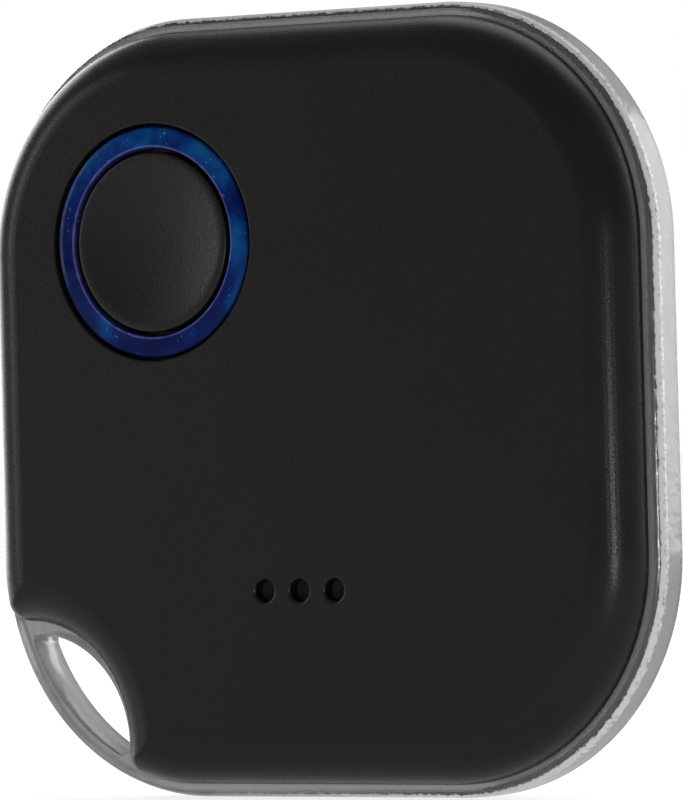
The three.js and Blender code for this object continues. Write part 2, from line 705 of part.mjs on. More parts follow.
// ---------------------------------------------------------------- button, ring and switch
function pipePlaces(radius) {
  return Array.from({ length: LIGHT_PIPES }, (_, i) => {
    const angle = (2 * Math.PI * (i + 0.5)) / LIGHT_PIPES;
    return {
      at: [BUTTON[0] + radius * Math.cos(angle), BUTTON[1] + radius * Math.sin(angle)],
      turn: angle,
    };
  });
}

function lightRing() {
  const crown = TAG_THICKNESS - RING_SINK;
  const ring = turned(BUTTON, [
    [RING_INNER, RING_FOOT_REAR],
    [RING_OUTER + RING_FLANGE, RING_FOOT_REAR],
    [RING_OUTER + RING_FLANGE, RING_FOOT_FRONT],
    [RING_OUTER, RING_FOOT_FRONT],
    [RING_OUTER, crown - RING_EDGE],
    [RING_OUTER - RING_EDGE, crown],
    [RING_INNER + RING_EDGE, crown],
    [RING_INNER, crown - RING_EDGE],
  ]);
  const pipes = pipePlaces(PIPE_CIRCLE).map(({ at }) => (
    disc(at, LIGHT_PIPE_RADIUS, PIPE_END, RING_FOOT_REAR + SEAM, SMALL_DISC_STEPS)
  ));
  return join(ring, ...pipes);
}

function buttonCap() {
  const radius = RING_INNER - BUTTON_GAP;
  const rim = TAG_THICKNESS - BUTTON_SINK;
  const flangeTop = RING_FOOT_REAR - SEAM;
  const flangeLow = flangeTop - BUTTON_FLANGE_THICKNESS;
  const hollow = radius - BUTTON_WALL;
  const ceiling = rim - BUTTON_CROWN;
  const postEnd = PLUNGER_FRONT + SEAM;
  const dishWidth = radius - BUTTON_RIM;
  const dish = Array.from({ length: DISH_STEPS + 1 }, (_, i) => {
    const share = i / DISH_STEPS;
    return [dishWidth * (1 - share), rim - BUTTON_DISH * (1 - (1 - share) ** 2)];
  });
  const cap = turned(BUTTON, [
    [0, postEnd],
    [BUTTON_POST_RADIUS, postEnd],
    [BUTTON_POST_RADIUS, ceiling],
    [hollow, ceiling],
    [hollow, flangeLow],
    [RING_INNER + BUTTON_FLANGE, flangeLow],
    [RING_INNER + BUTTON_FLANGE, flangeTop],
    [radius, flangeTop],
    [radius, rim - BUTTON_EDGE],
    [radius - BUTTON_EDGE, rim],
    ...dish,
  ]);
  const reliefs = pipePlaces(PIPE_CIRCLE).map(({ at }) => (
    disc(at, LIGHT_PIPE_RADIUS + 2 * FIT, flangeLow - 1, flangeTop + SEAM / 2, SMALL_DISC_STEPS)
  ));
  return cut(cap, ...reliefs);
}

function centred(length, width, low, high, [x, y]) {
  return block([x - length / 2, x + length / 2], [y - width / 2, y + width / 2], [low, high]);
}

function switchBase() {
  return cut(
    centred(SWITCH_LENGTH, SWITCH_WIDTH, SWITCH_REAR, SWITCH_FRONT, BUTTON),
    disc(BUTTON, SWITCH_WELL, SWITCH_REAR + SWITCH_FLOOR, SWITCH_FRONT + 1, SMALL_DISC_STEPS),
  );
}

function switchShell() {
  const low = SWITCH_REAR + SWITCH_FLOOR;
  const high = SWITCH_FRONT + SEAM + SHELL_THICKNESS;
  const spread = 2 * (SEAM + SHELL_THICKNESS);
  const inside = 2 * SEAM;
  return cut(
    centred(SWITCH_LENGTH + spread, SWITCH_WIDTH - SHELL_NARROWER, low, high, BUTTON),
    centred(SWITCH_LENGTH + inside, SWITCH_WIDTH + 1, low - 1, SWITCH_FRONT + SEAM, BUTTON),
    disc(BUTTON, PLUNGER_RADIUS + FIT, 0, TAG_THICKNESS, SMALL_DISC_STEPS),
  );
}

function switchPlunger() {
  const foot = PLUNGER_FOOT_REAR;
  return turned(BUTTON, [
    [0, foot],
    [PLUNGER_FOOT_RADIUS, foot],
    [PLUNGER_FOOT_RADIUS, foot + PLUNGER_FOOT_THICKNESS],
    [PLUNGER_RADIUS, foot + PLUNGER_FOOT_THICKNESS],
    [PLUNGER_RADIUS, PLUNGER_FRONT],
    [0, PLUNGER_FRONT],
  ], SMALL_DISC_STEPS);
}

function switchDome() {
  const base = SWITCH_REAR + SWITCH_FLOOR + SOLDER_GAP;
  const rise = DOME_HEIGHT - DOME_THICKNESS;
  const curve = (lift) => Array.from({ length: DISH_STEPS + 1 }, (_, i) => {
    const share = i / DISH_STEPS;
    return [DOME_RADIUS * (1 - share), base + lift + rise * (1 - (1 - share) ** 2)];
  });
  const over = curve(DOME_THICKNESS);
  const under = curve(0).reverse();
  return turned(BUTTON, [...under, ...over], SMALL_DISC_STEPS);
}

// ---------------------------------------------------------------- board and what is on it
function circuitBoard() {
  const far = TAG_SIDE;
  const arm = CELL_RADIUS * 0.6;
  const end = CELL_RADIUS * 0.97;
  const levels = [BOARD_REAR - 1, BOARD_FRONT + 1];
  return cut(
    prism(caseOutline(BOARD_INSET), BOARD_REAR, BOARD_FRONT),
    cellDisc(BOARD_POCKET, BOARD_REAR - 1, BOARD_FRONT + 1),
    block([CELL_X, far], [-far, CELL_Y], levels),
    block([CELL_X + arm, far], [-far, CELL_Y + end], levels),
    block([CELL_X - end, far], [-far, CELL_Y - arm], levels),
    ...stakePlaces().map((at) => (
      disc(at, STAKE_RADIUS + FIT, BOARD_REAR - 1, BOARD_FRONT + 1, SMALL_DISC_STEPS)
    )),
  );
}

// Parts soldered to the board's rear side: name, [length, width, height], what it is placed from,
// its place from there, turn in degrees, material.
const UPPER_RIGHT = [BOARD_HALF, BOARD_HALF];
const ABOVE_CELL = [CELL_X, BOARD_HALF];
const LEFT_OF_CELL = [-BOARD_HALF, CELL_Y];
const REAR_SIDE_PARTS = [
  ['radio_chip', [5, 5, 0.85], BUTTON, [-0.14, 0.94], 0, PACKAGE],
  ['crystal_main', [2.5, 2.0, 0.6], BUTTON, [4.46, 2.94], 0, STEEL],
  ['crystal_clock', [3.2, 1.5, 0.8], BUTTON, [-0.54, 5.24], 0, STEEL],
  ['chip_antenna', [3.2, 1.6, 1.0], UPPER_RIGHT, [-4.58, -4.58], -45, CERAMIC],
  ['power_inductor', [3.0, 3.0, 1.2], ABOVE_CELL, [-3.93, -3.68], 0, PACKAGE],
  ['buzzer_driver', [2.9, 1.6, 1.0], BUTTON, [-3.94, -6.26], 90, PACKAGE],
  ['capacitor_1', [1.0, 0.5, 0.5], BUTTON, [3.46, 0.74], 90, CERAMIC],
  ['capacitor_2', [1.0, 0.5, 0.5], BUTTON, [-3.84, 1.94], 90, CERAMIC],
  ['capacitor_3', [1.0, 0.5, 0.5], BUTTON, [-3.84, -0.26], 90, CERAMIC],
  ['capacitor_4', [1.6, 0.8, 0.8], UPPER_RIGHT, [-7.68, -4.88], 90, CERAMIC],
  ['capacitor_5', [1.6, 0.8, 0.8], LEFT_OF_CELL, [2.08, 2.93], 90, CERAMIC],
  ['resistor_1', [1.0, 0.5, 0.35], BUTTON, [4.46, 4.94], 0, PACKAGE],
  ['resistor_2', [1.0, 0.5, 0.35], BUTTON, [-1.34, -5.26], 90, PACKAGE],
  ['resistor_3', [1.0, 0.5, 0.35], BUTTON, [-1.34, -7.06], 90, PACKAGE],
];

function chip([length, width, height], place, turn, rearSide) {
  const low = rearSide ? BOARD_REAR - SOLDER_GAP - height : BOARD_FRONT + SOLDER_GAP;
  return centred(length, width, low, low + height, MIDDLE)
    .rotate([0, 0, turn])
    .translate([...place, 0]);
}

// ---------------------------------------------------------------- assembly
const tag = new THREE.Group();
tag.rotation.x = Math.PI / 2;
tag.position.set(0, TAG_THICKNESS / 2, FRAME_HALF);

function add(name, body, material) {
  const { numProp, vertProperties, triVerts } = body.getMesh();
  const geometry = new THREE.BufferGeometry();
  const positions = vertProperties.filter((_, i) => i % numProp < 3);
  geometry.setAttribute('position', new THREE.Float32BufferAttribute(positions, 3));
  geometry.setIndex(Array.from(triVerts));
  const mesh = new THREE.Mesh(geometry, material);
  mesh.name = name;
  tag.add(mesh);
}

function addCase() {
  add('front_cover', frontCover(), BLACK);
  add('clear_frame', clearFrame(), CLEAR);
  add('inner_carrier', innerCarrier(), NATURAL);
  add('rear_cover', rearCover(), BLACK);
}

function addButton() {
  add('light_ring', lightRing(), RING_BLUE);
  add('button_cap', buttonCap(), BLACK);
  add('switch_base', switchBase(), PACKAGE);
  add('switch_dome', switchDome(), STEEL);
  add('switch_plunger', switchPlunger(), BLACK);
  add('switch_shell', switchShell(), STEEL);
}

function addBuzzer() {
  const glue = cut(
    disc(BUZZER, BUZZER_RADIUS, GLUE_FRONT - BUZZER_GLUE_THICKNESS, GLUE_FRONT),
    disc(BUZZER, BUZZER_RADIUS - BUZZER_GLUE_WIDTH, 0, TAG_THICKNESS),
  );
  const plateRear = PLATE_FRONT - BUZZER_PLATE_THICKNESS;
  const ceramicRear = CERAMIC_FRONT - CERAMIC_THICKNESS;
  const meshLow = FRONT_INSIDE + SEAM / 2;
  add('sound_mesh', prism(slotOutline(MESH_MARGIN), meshLow, meshLow + MESH_THICKNESS), FELT);
  add('buzzer_glue_ring', glue, FELT);
  add('buzzer_plate', disc(BUZZER, BUZZER_RADIUS, plateRear, PLATE_FRONT), BRASS);
  add('buzzer_ceramic', disc(BUZZER, CERAMIC_RADIUS, ceramicRear, CERAMIC_FRONT), CERAMIC);
  const plateReach = (BUZZER_RADIUS + CERAMIC_RADIUS) / 2;
  const ceramicReach = CERAMIC_RADIUS - LEAD_WIDTH;
  add('buzzer_lead_plate', buzzerLead(plateReach, plateRear, LEAD_APART), GOLD);
  add('buzzer_lead_ceramic', buzzerLead(ceramicReach, ceramicRear, -LEAD_APART), GOLD);
}

function addBoard() {
  add('circuit_board', circuitBoard(), SOLDER_MASK);
  for (const [name, size, from, offset, turn, material] of REAR_SIDE_PARTS) {
    const place = [from[0] + offset[0], from[1] + offset[1]];
    add(name, chip(size, place, turn, true), material);
  }
  pipePlaces(PIPE_CIRCLE).forEach(({ at, turn }, i) => {
    const tangent = THREE.MathUtils.radToDeg(turn) + 90;
    add(`led_${i + 1}`, chip(LED_SIZE, at, tangent, false), LED_BODY);
  });
  add('contact_positive', positiveContact(), STEEL);
  add('contact_negative', negativeContact(), STEEL);
  add('insulator_film', cellDisc(CELL_CAP_RADIUS, FILM_REAR, FILM_REAR + FILM_THICKNESS), FILM);
}

function addCell() {
  const floor = CELL_REAR + CELL_CAN_WALL + SEAM;
  const ceiling = CELL_FRONT - CELL_CAN_WALL - SEAM;
  const split = floor + (ceiling - floor) * CATHODE_SHARE;
  add('cell_can', cellCan(), STEEL);
  add('cell_gasket', cellGasket(), CELL_PLASTIC);
  add('cell_cathode', cellLayer(floor, split), FELT);
  add('cell_anode', cellLayer(split + SEAM, ceiling), STEEL);
  add('cell_cap', cellCap(), STEEL);
}

addCase();
addButton();
addBuzzer();
addBoard();
addCell();

export default tag;
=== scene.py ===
import math
import random

import bmesh
import bpy
from mathutils import Matrix, Vector


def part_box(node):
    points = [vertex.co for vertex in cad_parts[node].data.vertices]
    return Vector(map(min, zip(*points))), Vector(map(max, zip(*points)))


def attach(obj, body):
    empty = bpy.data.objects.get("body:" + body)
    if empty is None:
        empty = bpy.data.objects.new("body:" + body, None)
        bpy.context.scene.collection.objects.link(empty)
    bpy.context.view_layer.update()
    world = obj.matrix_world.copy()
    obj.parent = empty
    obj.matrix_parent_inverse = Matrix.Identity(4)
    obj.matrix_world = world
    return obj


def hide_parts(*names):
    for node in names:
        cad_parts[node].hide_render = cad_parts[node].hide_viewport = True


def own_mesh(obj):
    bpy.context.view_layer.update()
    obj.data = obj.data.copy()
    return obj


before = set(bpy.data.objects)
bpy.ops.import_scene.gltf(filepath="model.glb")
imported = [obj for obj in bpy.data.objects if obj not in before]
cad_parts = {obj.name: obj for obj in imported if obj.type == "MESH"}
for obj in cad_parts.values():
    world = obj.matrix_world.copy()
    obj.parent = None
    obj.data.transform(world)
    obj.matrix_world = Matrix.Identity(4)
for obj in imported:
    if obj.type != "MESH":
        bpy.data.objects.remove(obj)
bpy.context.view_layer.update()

MM = 0.001
QUARTER = math.pi / 2

# ---- sizes, in millimetres
# Pieces are drawn lying down, face up: x right, y towards the top edge, z from the back (0) to the
# face. stand_up() turns them into the frame's metres.
FRAME_LOW, FRAME_HIGH = (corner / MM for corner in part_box("clear_frame"))
COVER_LOW, COVER_HIGH = (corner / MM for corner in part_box("front_cover"))
FACE = -COVER_LOW.y
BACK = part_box("rear_cover")[1].y / MM
THICKNESS = FACE + BACK
HALF = (FRAME_HIGH.x - FRAME_LOW.x) / 2
COVER_HALF = (COVER_HIGH.x - COVER_LOW.x) / 2
REVEAL = HALF - COVER_HALF
CORNER = 10.95
COVER_CORNER = CORNER - REVEAL
SEAM = 0.05
FIT = 0.1
FRONT_LIP = 3.95
REAR_LIP = 1.85
FRONT_SHOULDER = 2.0
REAR_SHOULDER = 1.75
COVER_WALL = 1.0
FRONT_SKIN = 0.8
REAR_SKIN = 0.7
INNER_CHAMFER = 0.6
FRAME_REAR = REAR_LIP + SEAM
FRAME_FRONT = FRONT_LIP - SEAM
FRAME_FRONT_ROUND = 0.5
FRAME_REAR_ROUND = 0.3
NOTCH = (1.7 - HALF, 2.4 - HALF)
NOTCH_RADIUS = 5.8
NOTCH_FILLET = 1.0
LOOP_BAR = 0.9
LOOP_END_ROUND = 0.35
FRONT_INSIDE = THICKNESS - FRONT_SKIN

BUTTON = (10.34 - HALF, HALF - 10.34)
RING_OUTER = 5.33
RING_INNER = 4.28
RING_FLANGE = 0.57
RING_RIDGE = 0.15  # from the ring's inside to the ridge of its crown
RING_CROWN = THICKNESS - 0.04
RING_FOOT = (4.92, 5.15)
RING_HOLE = RING_OUTER + 0.12
PIPE_RADIUS = 0.5
PIPES = 4
CLEAR_SHARE = 0.35  # of the frame's plastic that lets light straight through
PAINTED_BAND_REACH = 2.5  # how far round the frame's front edge its painted highlight and painted shade bands run, in widths of the round
BUTTON_RADIUS = RING_INNER - 0.13
BUTTON_RIM = THICKNESS - 0.02
BUTTON_DISH = 0.28

SOUND_HOLES = 3
SOUND_HOLE_RADIUS = 0.55
SOUND_HOLE_PITCH = 1.9
SOUND_HOLE_Y = 9.54 - HALF

CARRIER_INSET = COVER_WALL + FIT
CARRIER_INSIDE = CARRIER_INSET + 0.9
CARRIER_LEVELS = (1.35, 4.45)
POCKET_RADIUS = 10.15
POCKET_OUTSIDE = 10.85
CELL_AT = COVER_HALF - CARRIER_INSIDE - POCKET_OUTSIDE
CELL = (CELL_AT, -CELL_AT)
CELL_RADIUS = 10.0
CELL_REAR = 0.8
CELL_FRONT = 4.0
CAP_RADIUS = 8.7
BOARD_LEVELS = (3.0, 3.8)
EYELETS = 46
BOARD_INSET = CARRIER_INSIDE + FIT
BOARD_HALF = COVER_HALF - BOARD_INSET

# ---- outlines
CORNER_STEPS = 40
NOTCH_STEPS = 56
FILLET_STEPS = 12
TAIL_STEPS = 8


def arc(centre, radius, start, end, steps):
    turns = [start + (end - start) * i / steps for i in range(steps + 1)]
    return [(centre[0] + radius * math.cos(a), centre[1] + radius * math.sin(a)) for a in turns]


def ring_of(centre, radius, steps):
    return arc(centre, radius, 0, 2 * math.pi, steps)[:-1]


def angle_to(start, end):
    return math.atan2(end[1] - start[1], end[0] - start[0])


def after(angle, start):
    """The same direction as angle, counted on from start by less than a full turn."""
    return start + (angle - start) % (2 * math.pi)


def meet_circles(p, a, q, b):
    """The two points at distance a from p and b from q."""
    p, q = Vector(p), Vector(q)
    span = (q - p).length
    along = (a * a - b * b + span * span) / (2 * span)
    aside = math.sqrt(a * a - along * along)
    way = (q - p) / span
    foot = p + way * along
    left = Vector((-way.y, way.x))
    return [tuple(foot + left * aside), tuple(foot - left * aside)]


def swapped(point):
    return (point[1], point[0])


def square_outline(half, corner):
    c = half - corner
    points = []
    for k, (x, y) in enumerate(((c, c), (-c, c), (-c, -c), (c, -c))):
        points += arc((x, y), corner, QUARTER * k, QUARTER * (k + 1), CORNER_STEPS)
    return points


def fillet_on_left(half, corner, notch, notch_radius, fillet):
    """Centre and touching angle of the fillet between the left edge and the notch, and its lead."""
    c = half - corner
    x = -half + fillet
    straight = (x, notch[1] + math.sqrt((notch_radius + fillet) ** 2 - (x - notch[0]) ** 2))
    if straight[1] >= -c:
        steps = TAIL_STEPS + 1
        lead = [(-half, c + (straight[1] - c) * (i + 1) / steps) for i in range(TAIL_STEPS)]
        return straight, math.pi, lead
    middle = (-c, -c)
    centre = min(meet_circles(middle, corner - fillet, notch, notch_radius + fillet))
    touch = after(angle_to(middle, centre), 0)
    return centre, touch, arc(middle, corner, math.pi, touch, TAIL_STEPS)[:-1]


def case_outline(inset):
    """The covers' outline moved inwards: a rounded square with the key loop's notch."""
    half, corner = COVER_HALF - inset, COVER_CORNER - inset
    radius = NOTCH_RADIUS + inset
    fillet = max(NOTCH_FILLET - inset, NOTCH_FILLET / 8)
    c = half - corner
    centre, touch, lead = fillet_on_left(half, corner, NOTCH, radius, fillet)
    low, low_touch, low_lead = fillet_on_left(half, corner, swapped(NOTCH), radius, fillet)
    low = swapped(low)
    low_touch = 3 * QUARTER - (low_touch - math.pi)
    into, out_of = angle_to(centre, NOTCH), angle_to(low, NOTCH)
    notch = arc(NOTCH, radius, angle_to(NOTCH, centre), angle_to(NOTCH, low), NOTCH_STEPS)
    return [
        *arc((c, -c), corner, -QUARTER, 0, CORNER_STEPS),
        *arc((c, c), corner, 0, QUARTER, CORNER_STEPS),
        *arc((-c, c), corner, QUARTER, 2 * QUARTER, CORNER_STEPS),
        *lead,
        *arc(centre, fillet, touch, after(into, touch), FILLET_STEPS),
        *notch[1:-1],
        *arc(low, fillet, out_of, after(low_touch, out_of), FILLET_STEPS),
        *[swapped(p) for p in reversed(low_lead)],
    ]


def loop_outline(grow=0.0):
    """The key loop's opening, between the bar at the frame's corner and the notch."""
    c = HALF - CORNER
    middle = (-c, -c)
    bar_inside = CORNER - LOOP_BAR + grow
    notch_side = NOTCH_RADIUS - REVEAL + grow
    end = LOOP_END_ROUND + grow
    pair = meet_circles(middle, bar_inside - end, NOTCH, notch_side - end)
    upper, lower = sorted(pair, key=lambda p: -p[1])
    bar_from = after(angle_to(middle, upper), 0)
    bar_to = after(angle_to(middle, lower), bar_from)
    notch_from = angle_to(NOTCH, lower)
    notch_to = after(angle_to(NOTCH, upper), notch_from)
    return [
        *arc(middle, bar_inside, bar_from, bar_to, NOTCH_STEPS),
        *arc(lower, end, bar_to, after(notch_from, bar_to), FILLET_STEPS)[1:],
        *arc(NOTCH, notch_side, notch_from, notch_to, NOTCH_STEPS)[1:],
        *arc(upper, end, notch_to, after(bar_from, notch_to), FILLET_STEPS)[1:-1],
    ]


def slot_outline(margin):
    reach = (SOUND_HOLES - 1) / 2 * SOUND_HOLE_PITCH
    radius = SOUND_HOLE_RADIUS + margin
    return [
        *arc((reach, SOUND_HOLE_Y), radius, -QUARTER, QUARTER, FILLET_STEPS),
        *arc((-reach, SOUND_HOLE_Y), radius, QUARTER, 3 * QUARTER, FILLET_STEPS),
    ]


# ---- meshes
def stand_up(x, y, z):
    return (x * MM, (BACK - z) * MM, (y + HALF) * MM)


def mesh_of(name, points, faces):
    mesh = bpy.data.meshes.new(name)
    mesh.from_pydata([stand_up(*p) for p in points], [], faces)
    mesh.validate()
    return mesh


def loft(name, rows):
    """Skins a stack of (outline, z) rows that have the same number of points, with flat ends."""
    count = len(rows[0][0])
    points = [(x, y, z) for outline, z in rows for x, y in outline]
    faces = [tuple(reversed(range(count)))]
    for row in range(len(rows) - 1):
        for i in range(count):
            a, b = row * count + i, row * count + (i + 1) % count
            faces.append((a, b, b + count, a + count))
    top = (len(rows) - 1) * count
    faces.append(tuple(range(top, top + count)))
    return mesh_of(name, points, faces)


def prism(outline, low, high):
    return loft("prism", [(outline, low), (outline, high)])


def disc(centre, radius, low, high, steps=96):
    return prism(ring_of(centre, radius, steps), low, high)


def block(x_range, y_range, z_range, turn=0.0, about=(0, 0)):
    corners = [(x_range[0], y_range[0]), (x_range[1], y_range[0]), (x_range[1], y_range[1]),
               (x_range[0], y_range[1])]
    c, s = math.cos(math.radians(turn)), math.sin(math.radians(turn))
    outline = [(about[0] + c * x - s * y, about[1] + s * x + c * y) for x, y in corners]
    return prism(outline, *z_range)


def stepped(centre, rows, steps=96):
    """A stack of discs, from (radius, z) rows."""
    return loft("stepped", [(ring_of(centre, radius, steps), z) for radius, z in rows])


def link(name, mesh):
    made = bpy.data.objects.new(name, mesh)
    bpy.context.scene.collection.objects.link(made)
    return made


def drop(made):
    mesh = made.data
    bpy.data.objects.remove(made)
    if mesh.users == 0:
        bpy.data.meshes.remove(mesh)


def plain_copy(made):
    """The object's final shape as a mesh of its own, with its modifiers taken into it."""
    graph = bpy.context.evaluated_depsgraph_get()
    mesh = bpy.data.meshes.new_from_object(made.evaluated_get(graph))
    made.modifiers.clear()
    return mesh


def carve(mesh, steps):
    """Applies ('cut' or 'join', mesh) steps to a solid, one after the other."""
    made = link("work", mesh)
    for way, other in steps:
        tool = link("tool", other)
        boolean = made.modifiers.new("boolean", "BOOLEAN")
        boolean.operation = "DIFFERENCE" if way == "cut" else "UNION"
        boolean.solver = "MANIFOLD"
        boolean.object = tool
        made.data = plain_copy(made)
        drop(tool)
    result = made.data.copy()
    drop(made)
    return result


def tidy_mesh(mesh, name, smooth_below=30.0, flat_area=1.0):
    """Merges doubles, smooths all but the sharp edges, and keeps large flat faces flat."""
    work = bmesh.new()
    work.from_mesh(mesh)
    bmesh.ops.remove_doubles(work, verts=work.verts, dist=0.0002 * MM)
    bmesh.ops.dissolve_degenerate(work, edges=work.edges, dist=0.0002 * MM)
    bmesh.ops.recalc_face_normals(work, faces=work.faces)
    for face in work.faces:
        face.smooth = True
    for edge in work.edges:
        big = any(face.calc_area() > flat_area * MM * MM for face in edge.link_faces)
        bend = edge.calc_face_angle(0.0)
        edge.smooth = bend < math.radians(smooth_below) and not (big and bend > math.radians(0.5))
    work.to_mesh(mesh)
    work.free()
    mesh.name = name
    return mesh


def piece(name, mesh, finish, body, slot, *nodes):
    """Puts a finished mesh in the scene as the piece that stands for the given CAD nodes."""
    made = link(name, mesh)
    mesh.name = name
    if finish is not None:
        mesh.materials.clear()
        mesh.materials.append(finish)
    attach(made, body)
    if nodes:
        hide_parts(*nodes)
    return made


# ---- node trees
def node(tree, kind, inputs=None, **settings):
    made = tree.nodes.new(kind)
    for key, value in settings.items():
        setattr(made, key, value)
    for key, value in (inputs or {}).items():
        socket = made.inputs[key]
        if isinstance(value, bpy.types.NodeSocket):
            tree.links.new(value, socket)
        else:
            socket.default_value = value
    return made


def sum_up(tree, operation, first, second=None):
    """A Math node's result."""
    inputs = {0: first} if second is None else {0: first, 1: second}
    return node(tree, "ShaderNodeMath", inputs, operation=operation).outputs["Value"]


def blend(tree, factor, first, second, **settings):
    """A colour mix's result."""
    inputs = {"Factor": factor, "A": first, "B": second}
    return node(tree, "ShaderNodeMix", inputs, data_type="RGBA", **settings).outputs[2]


def blend_values(tree, factor, first, second):
    """A plain number mix's result."""
    return node(tree, "ShaderNodeMix", {"Factor": factor, "A": first, "B": second}).outputs[0]


def attribute(tree, name):
    return node(tree, "ShaderNodeAttribute", attribute_name=name).outputs["Fac"]


def new_finish(name):
    finish = bpy.data.materials.new(name)
    finish.use_nodes = True
    tree = finish.node_tree
    tree.nodes.clear()
    return finish, tree


def speckle(tree, size, detail=2.0, roughness=0.5, stretch=(1, 1, 1)):
    """Noise in the piece's own space, with grains of about the given size in millimetres."""
    where = node(tree, "ShaderNodeTexCoord").outputs["Object"]
    mapping = node(tree, "ShaderNodeMapping", {"Vector": where, "Scale": stretch})
    noise = node(tree, "ShaderNodeTexNoise", {
        "Vector": mapping.outputs["Vector"], "Scale": 1 / (size * MM), "Detail": detail,
        "Roughness": roughness,
    })
    return noise.outputs["Fac"]


def between(tree, factor, low, high, start=0.3, end=0.7):
    """Maps a 0 to 1 factor onto low to high."""
    return node(tree, "ShaderNodeMapRange", {
        "Value": factor, "From Min": start, "From Max": end, "To Min": low, "To Max": high,
    }).outputs["Result"]


def colours(tree, factor, *stops):
    """A colour ramp from (place, (r, g, b)) stops."""
    ramp = node(tree, "ShaderNodeValToRGB", {"Fac": factor})
    elements = ramp.color_ramp.elements
    while len(elements) < len(stops):
        elements.new(0.5)
    for element, (place, colour) in zip(elements, stops):
        element.position = place
        element.color = (*colour, 1)
    return ramp.outputs["Color"]


def bumps(tree, *layers):
    """Stacks bump layers, each (height socket, strength, distance in millimetres)."""
    normal = None
    for height, strength, distance in layers:
        inputs = {"Height": height, "Strength": strength, "Distance": distance * MM}
        if normal is not None:
            inputs["Normal"] = normal
        normal = node(tree, "ShaderNodeBump", inputs).outputs["Normal"]
    return normal


def surface(tree, inputs, normal=None):
    if normal is not None:
        inputs = {**inputs, "Normal": normal}
    shader = node(tree, "ShaderNodeBsdfPrincipled", inputs)
    node(tree, "ShaderNodeOutputMaterial", {"Surface": shader.outputs["BSDF"]})


# ---- finishes
def grey(value):
    return (value, value, value)


def moulded(name, dark, light, roughness, grain=0.09, depth=0.35, level=0.5, rubbed_and_highlit=None):
    """Moulded plastic: a fine eroded texture, faint flow marks and, if asked, lighter, glossier edges by the
    lip, partly rubbed wear and partly a painted highlight.
    """
    finish, tree = new_finish(name)
    flow = speckle(tree, 6.0, detail=3)
    grains = speckle(tree, grain, detail=3)
    fine = speckle(tree, grain / 3, detail=1)
    colour = colours(tree, flow, (0.35, dark), (0.65, light))
    rough = between(tree, grains, roughness - 0.06, roughness + 0.06)
    if rubbed_and_highlit is not None:
        # Lighter, glossier band by the lip: partly rubbed wear, partly a painted highlight.
        patchy = sum_up(tree, "MULTIPLY", attribute(tree, "rim"), speckle(tree, 1.2, detail=4))
        worn_and_highlit = between(tree, patchy, 0.0, 1.0, 0.25, 0.75)
        colour = blend(tree, worn_and_highlit, colour, (*rubbed_and_highlit, 1))
        rough = sum_up(tree, "SUBTRACT", rough, between(tree, worn_and_highlit, 0.0, 0.14, 0.0, 1.0))
    normal = bumps(tree, (grains, depth, 0.02), (fine, depth * 0.6, 0.008))
    surface(tree, {"Base Color": colour, "Roughness": rough, "Specular IOR Level": level}, normal)
    return finish


def clear_plastic():
    """Smoky satin plastic that lets some light through, white on faces marked "frost", with painted highlight
    and painted shade bands round its front edge.
    """
    finish, tree = new_finish("smoky_polycarbonate")
    flow = speckle(tree, 0.9, detail=3)
    ripple = speckle(tree, 0.16, detail=2)
    rough = between(tree, ripple, 0.10, 0.24)
    normal = bumps(tree, (flow, 0.3, 0.10), (ripple, 0.15, 0.01))
    clear = node(tree, "ShaderNodeBsdfPrincipled", {
        "Base Color": (0.9, 0.91, 0.92, 1), "Roughness": rough, "IOR": 1.49,
        "Transmission Weight": 1.0, "Normal": normal,
    })
    painted_band_jitter = between(tree, speckle(tree, 0.22, detail=4, roughness=0.7), -0.16, 0.16)
    place = sum_up(tree, "DIVIDE", sum_up(tree, "ADD", attribute(tree, "across"), painted_band_jitter), PAINTED_BAND_REACH)
    # Painted light round the front edge: a dark painted shade line by the groove, a white painted highlight
    # on the round's crest, and painted shade towards the rear edge.
    painted_bands = colours(tree, place, (0.0, grey(0.24)), (0.05, grey(0.22)), (0.08, grey(0.06)),
                   (0.17, grey(0.05)), (0.19, grey(0.015)), (0.25, grey(0.015)),
                   (0.28, grey(0.85)), (0.38, grey(0.85)), (0.44, grey(0.33)),
                   (0.80, grey(0.31)), (0.90, grey(0.19)))
    plain = colours(tree, flow, (0.3, grey(0.26)), (0.7, grey(0.33)))
    shade = blend(tree, attribute(tree, "painted_band_share"), plain, painted_bands)
    milk = node(tree, "ShaderNodeBsdfPrincipled", {
        "Base Color": shade, "Roughness": rough, "Specular IOR Level": 0.6, "Normal": normal,
    })
    body = node(tree, "ShaderNodeMixShader", {
        0: CLEAR_SHARE, 1: milk.outputs["BSDF"], 2: clear.outputs["BSDF"],
    })
    white = node(tree, "ShaderNodeBsdfPrincipled", {
        "Base Color": colours(tree, flow, (0.3, grey(0.74)), (0.7, grey(0.84))),
        "Roughness": between(tree, ripple, 0.4, 0.6), "Normal": normal,
    })
    mix = node(tree, "ShaderNodeMixShader", {
        0: attribute(tree, "frost"), 1: body.outputs["Shader"], 2: white.outputs["BSDF"],
    })
    node(tree, "ShaderNodeOutputMaterial", {"Surface": mix.outputs["Shader"]})
    return finish


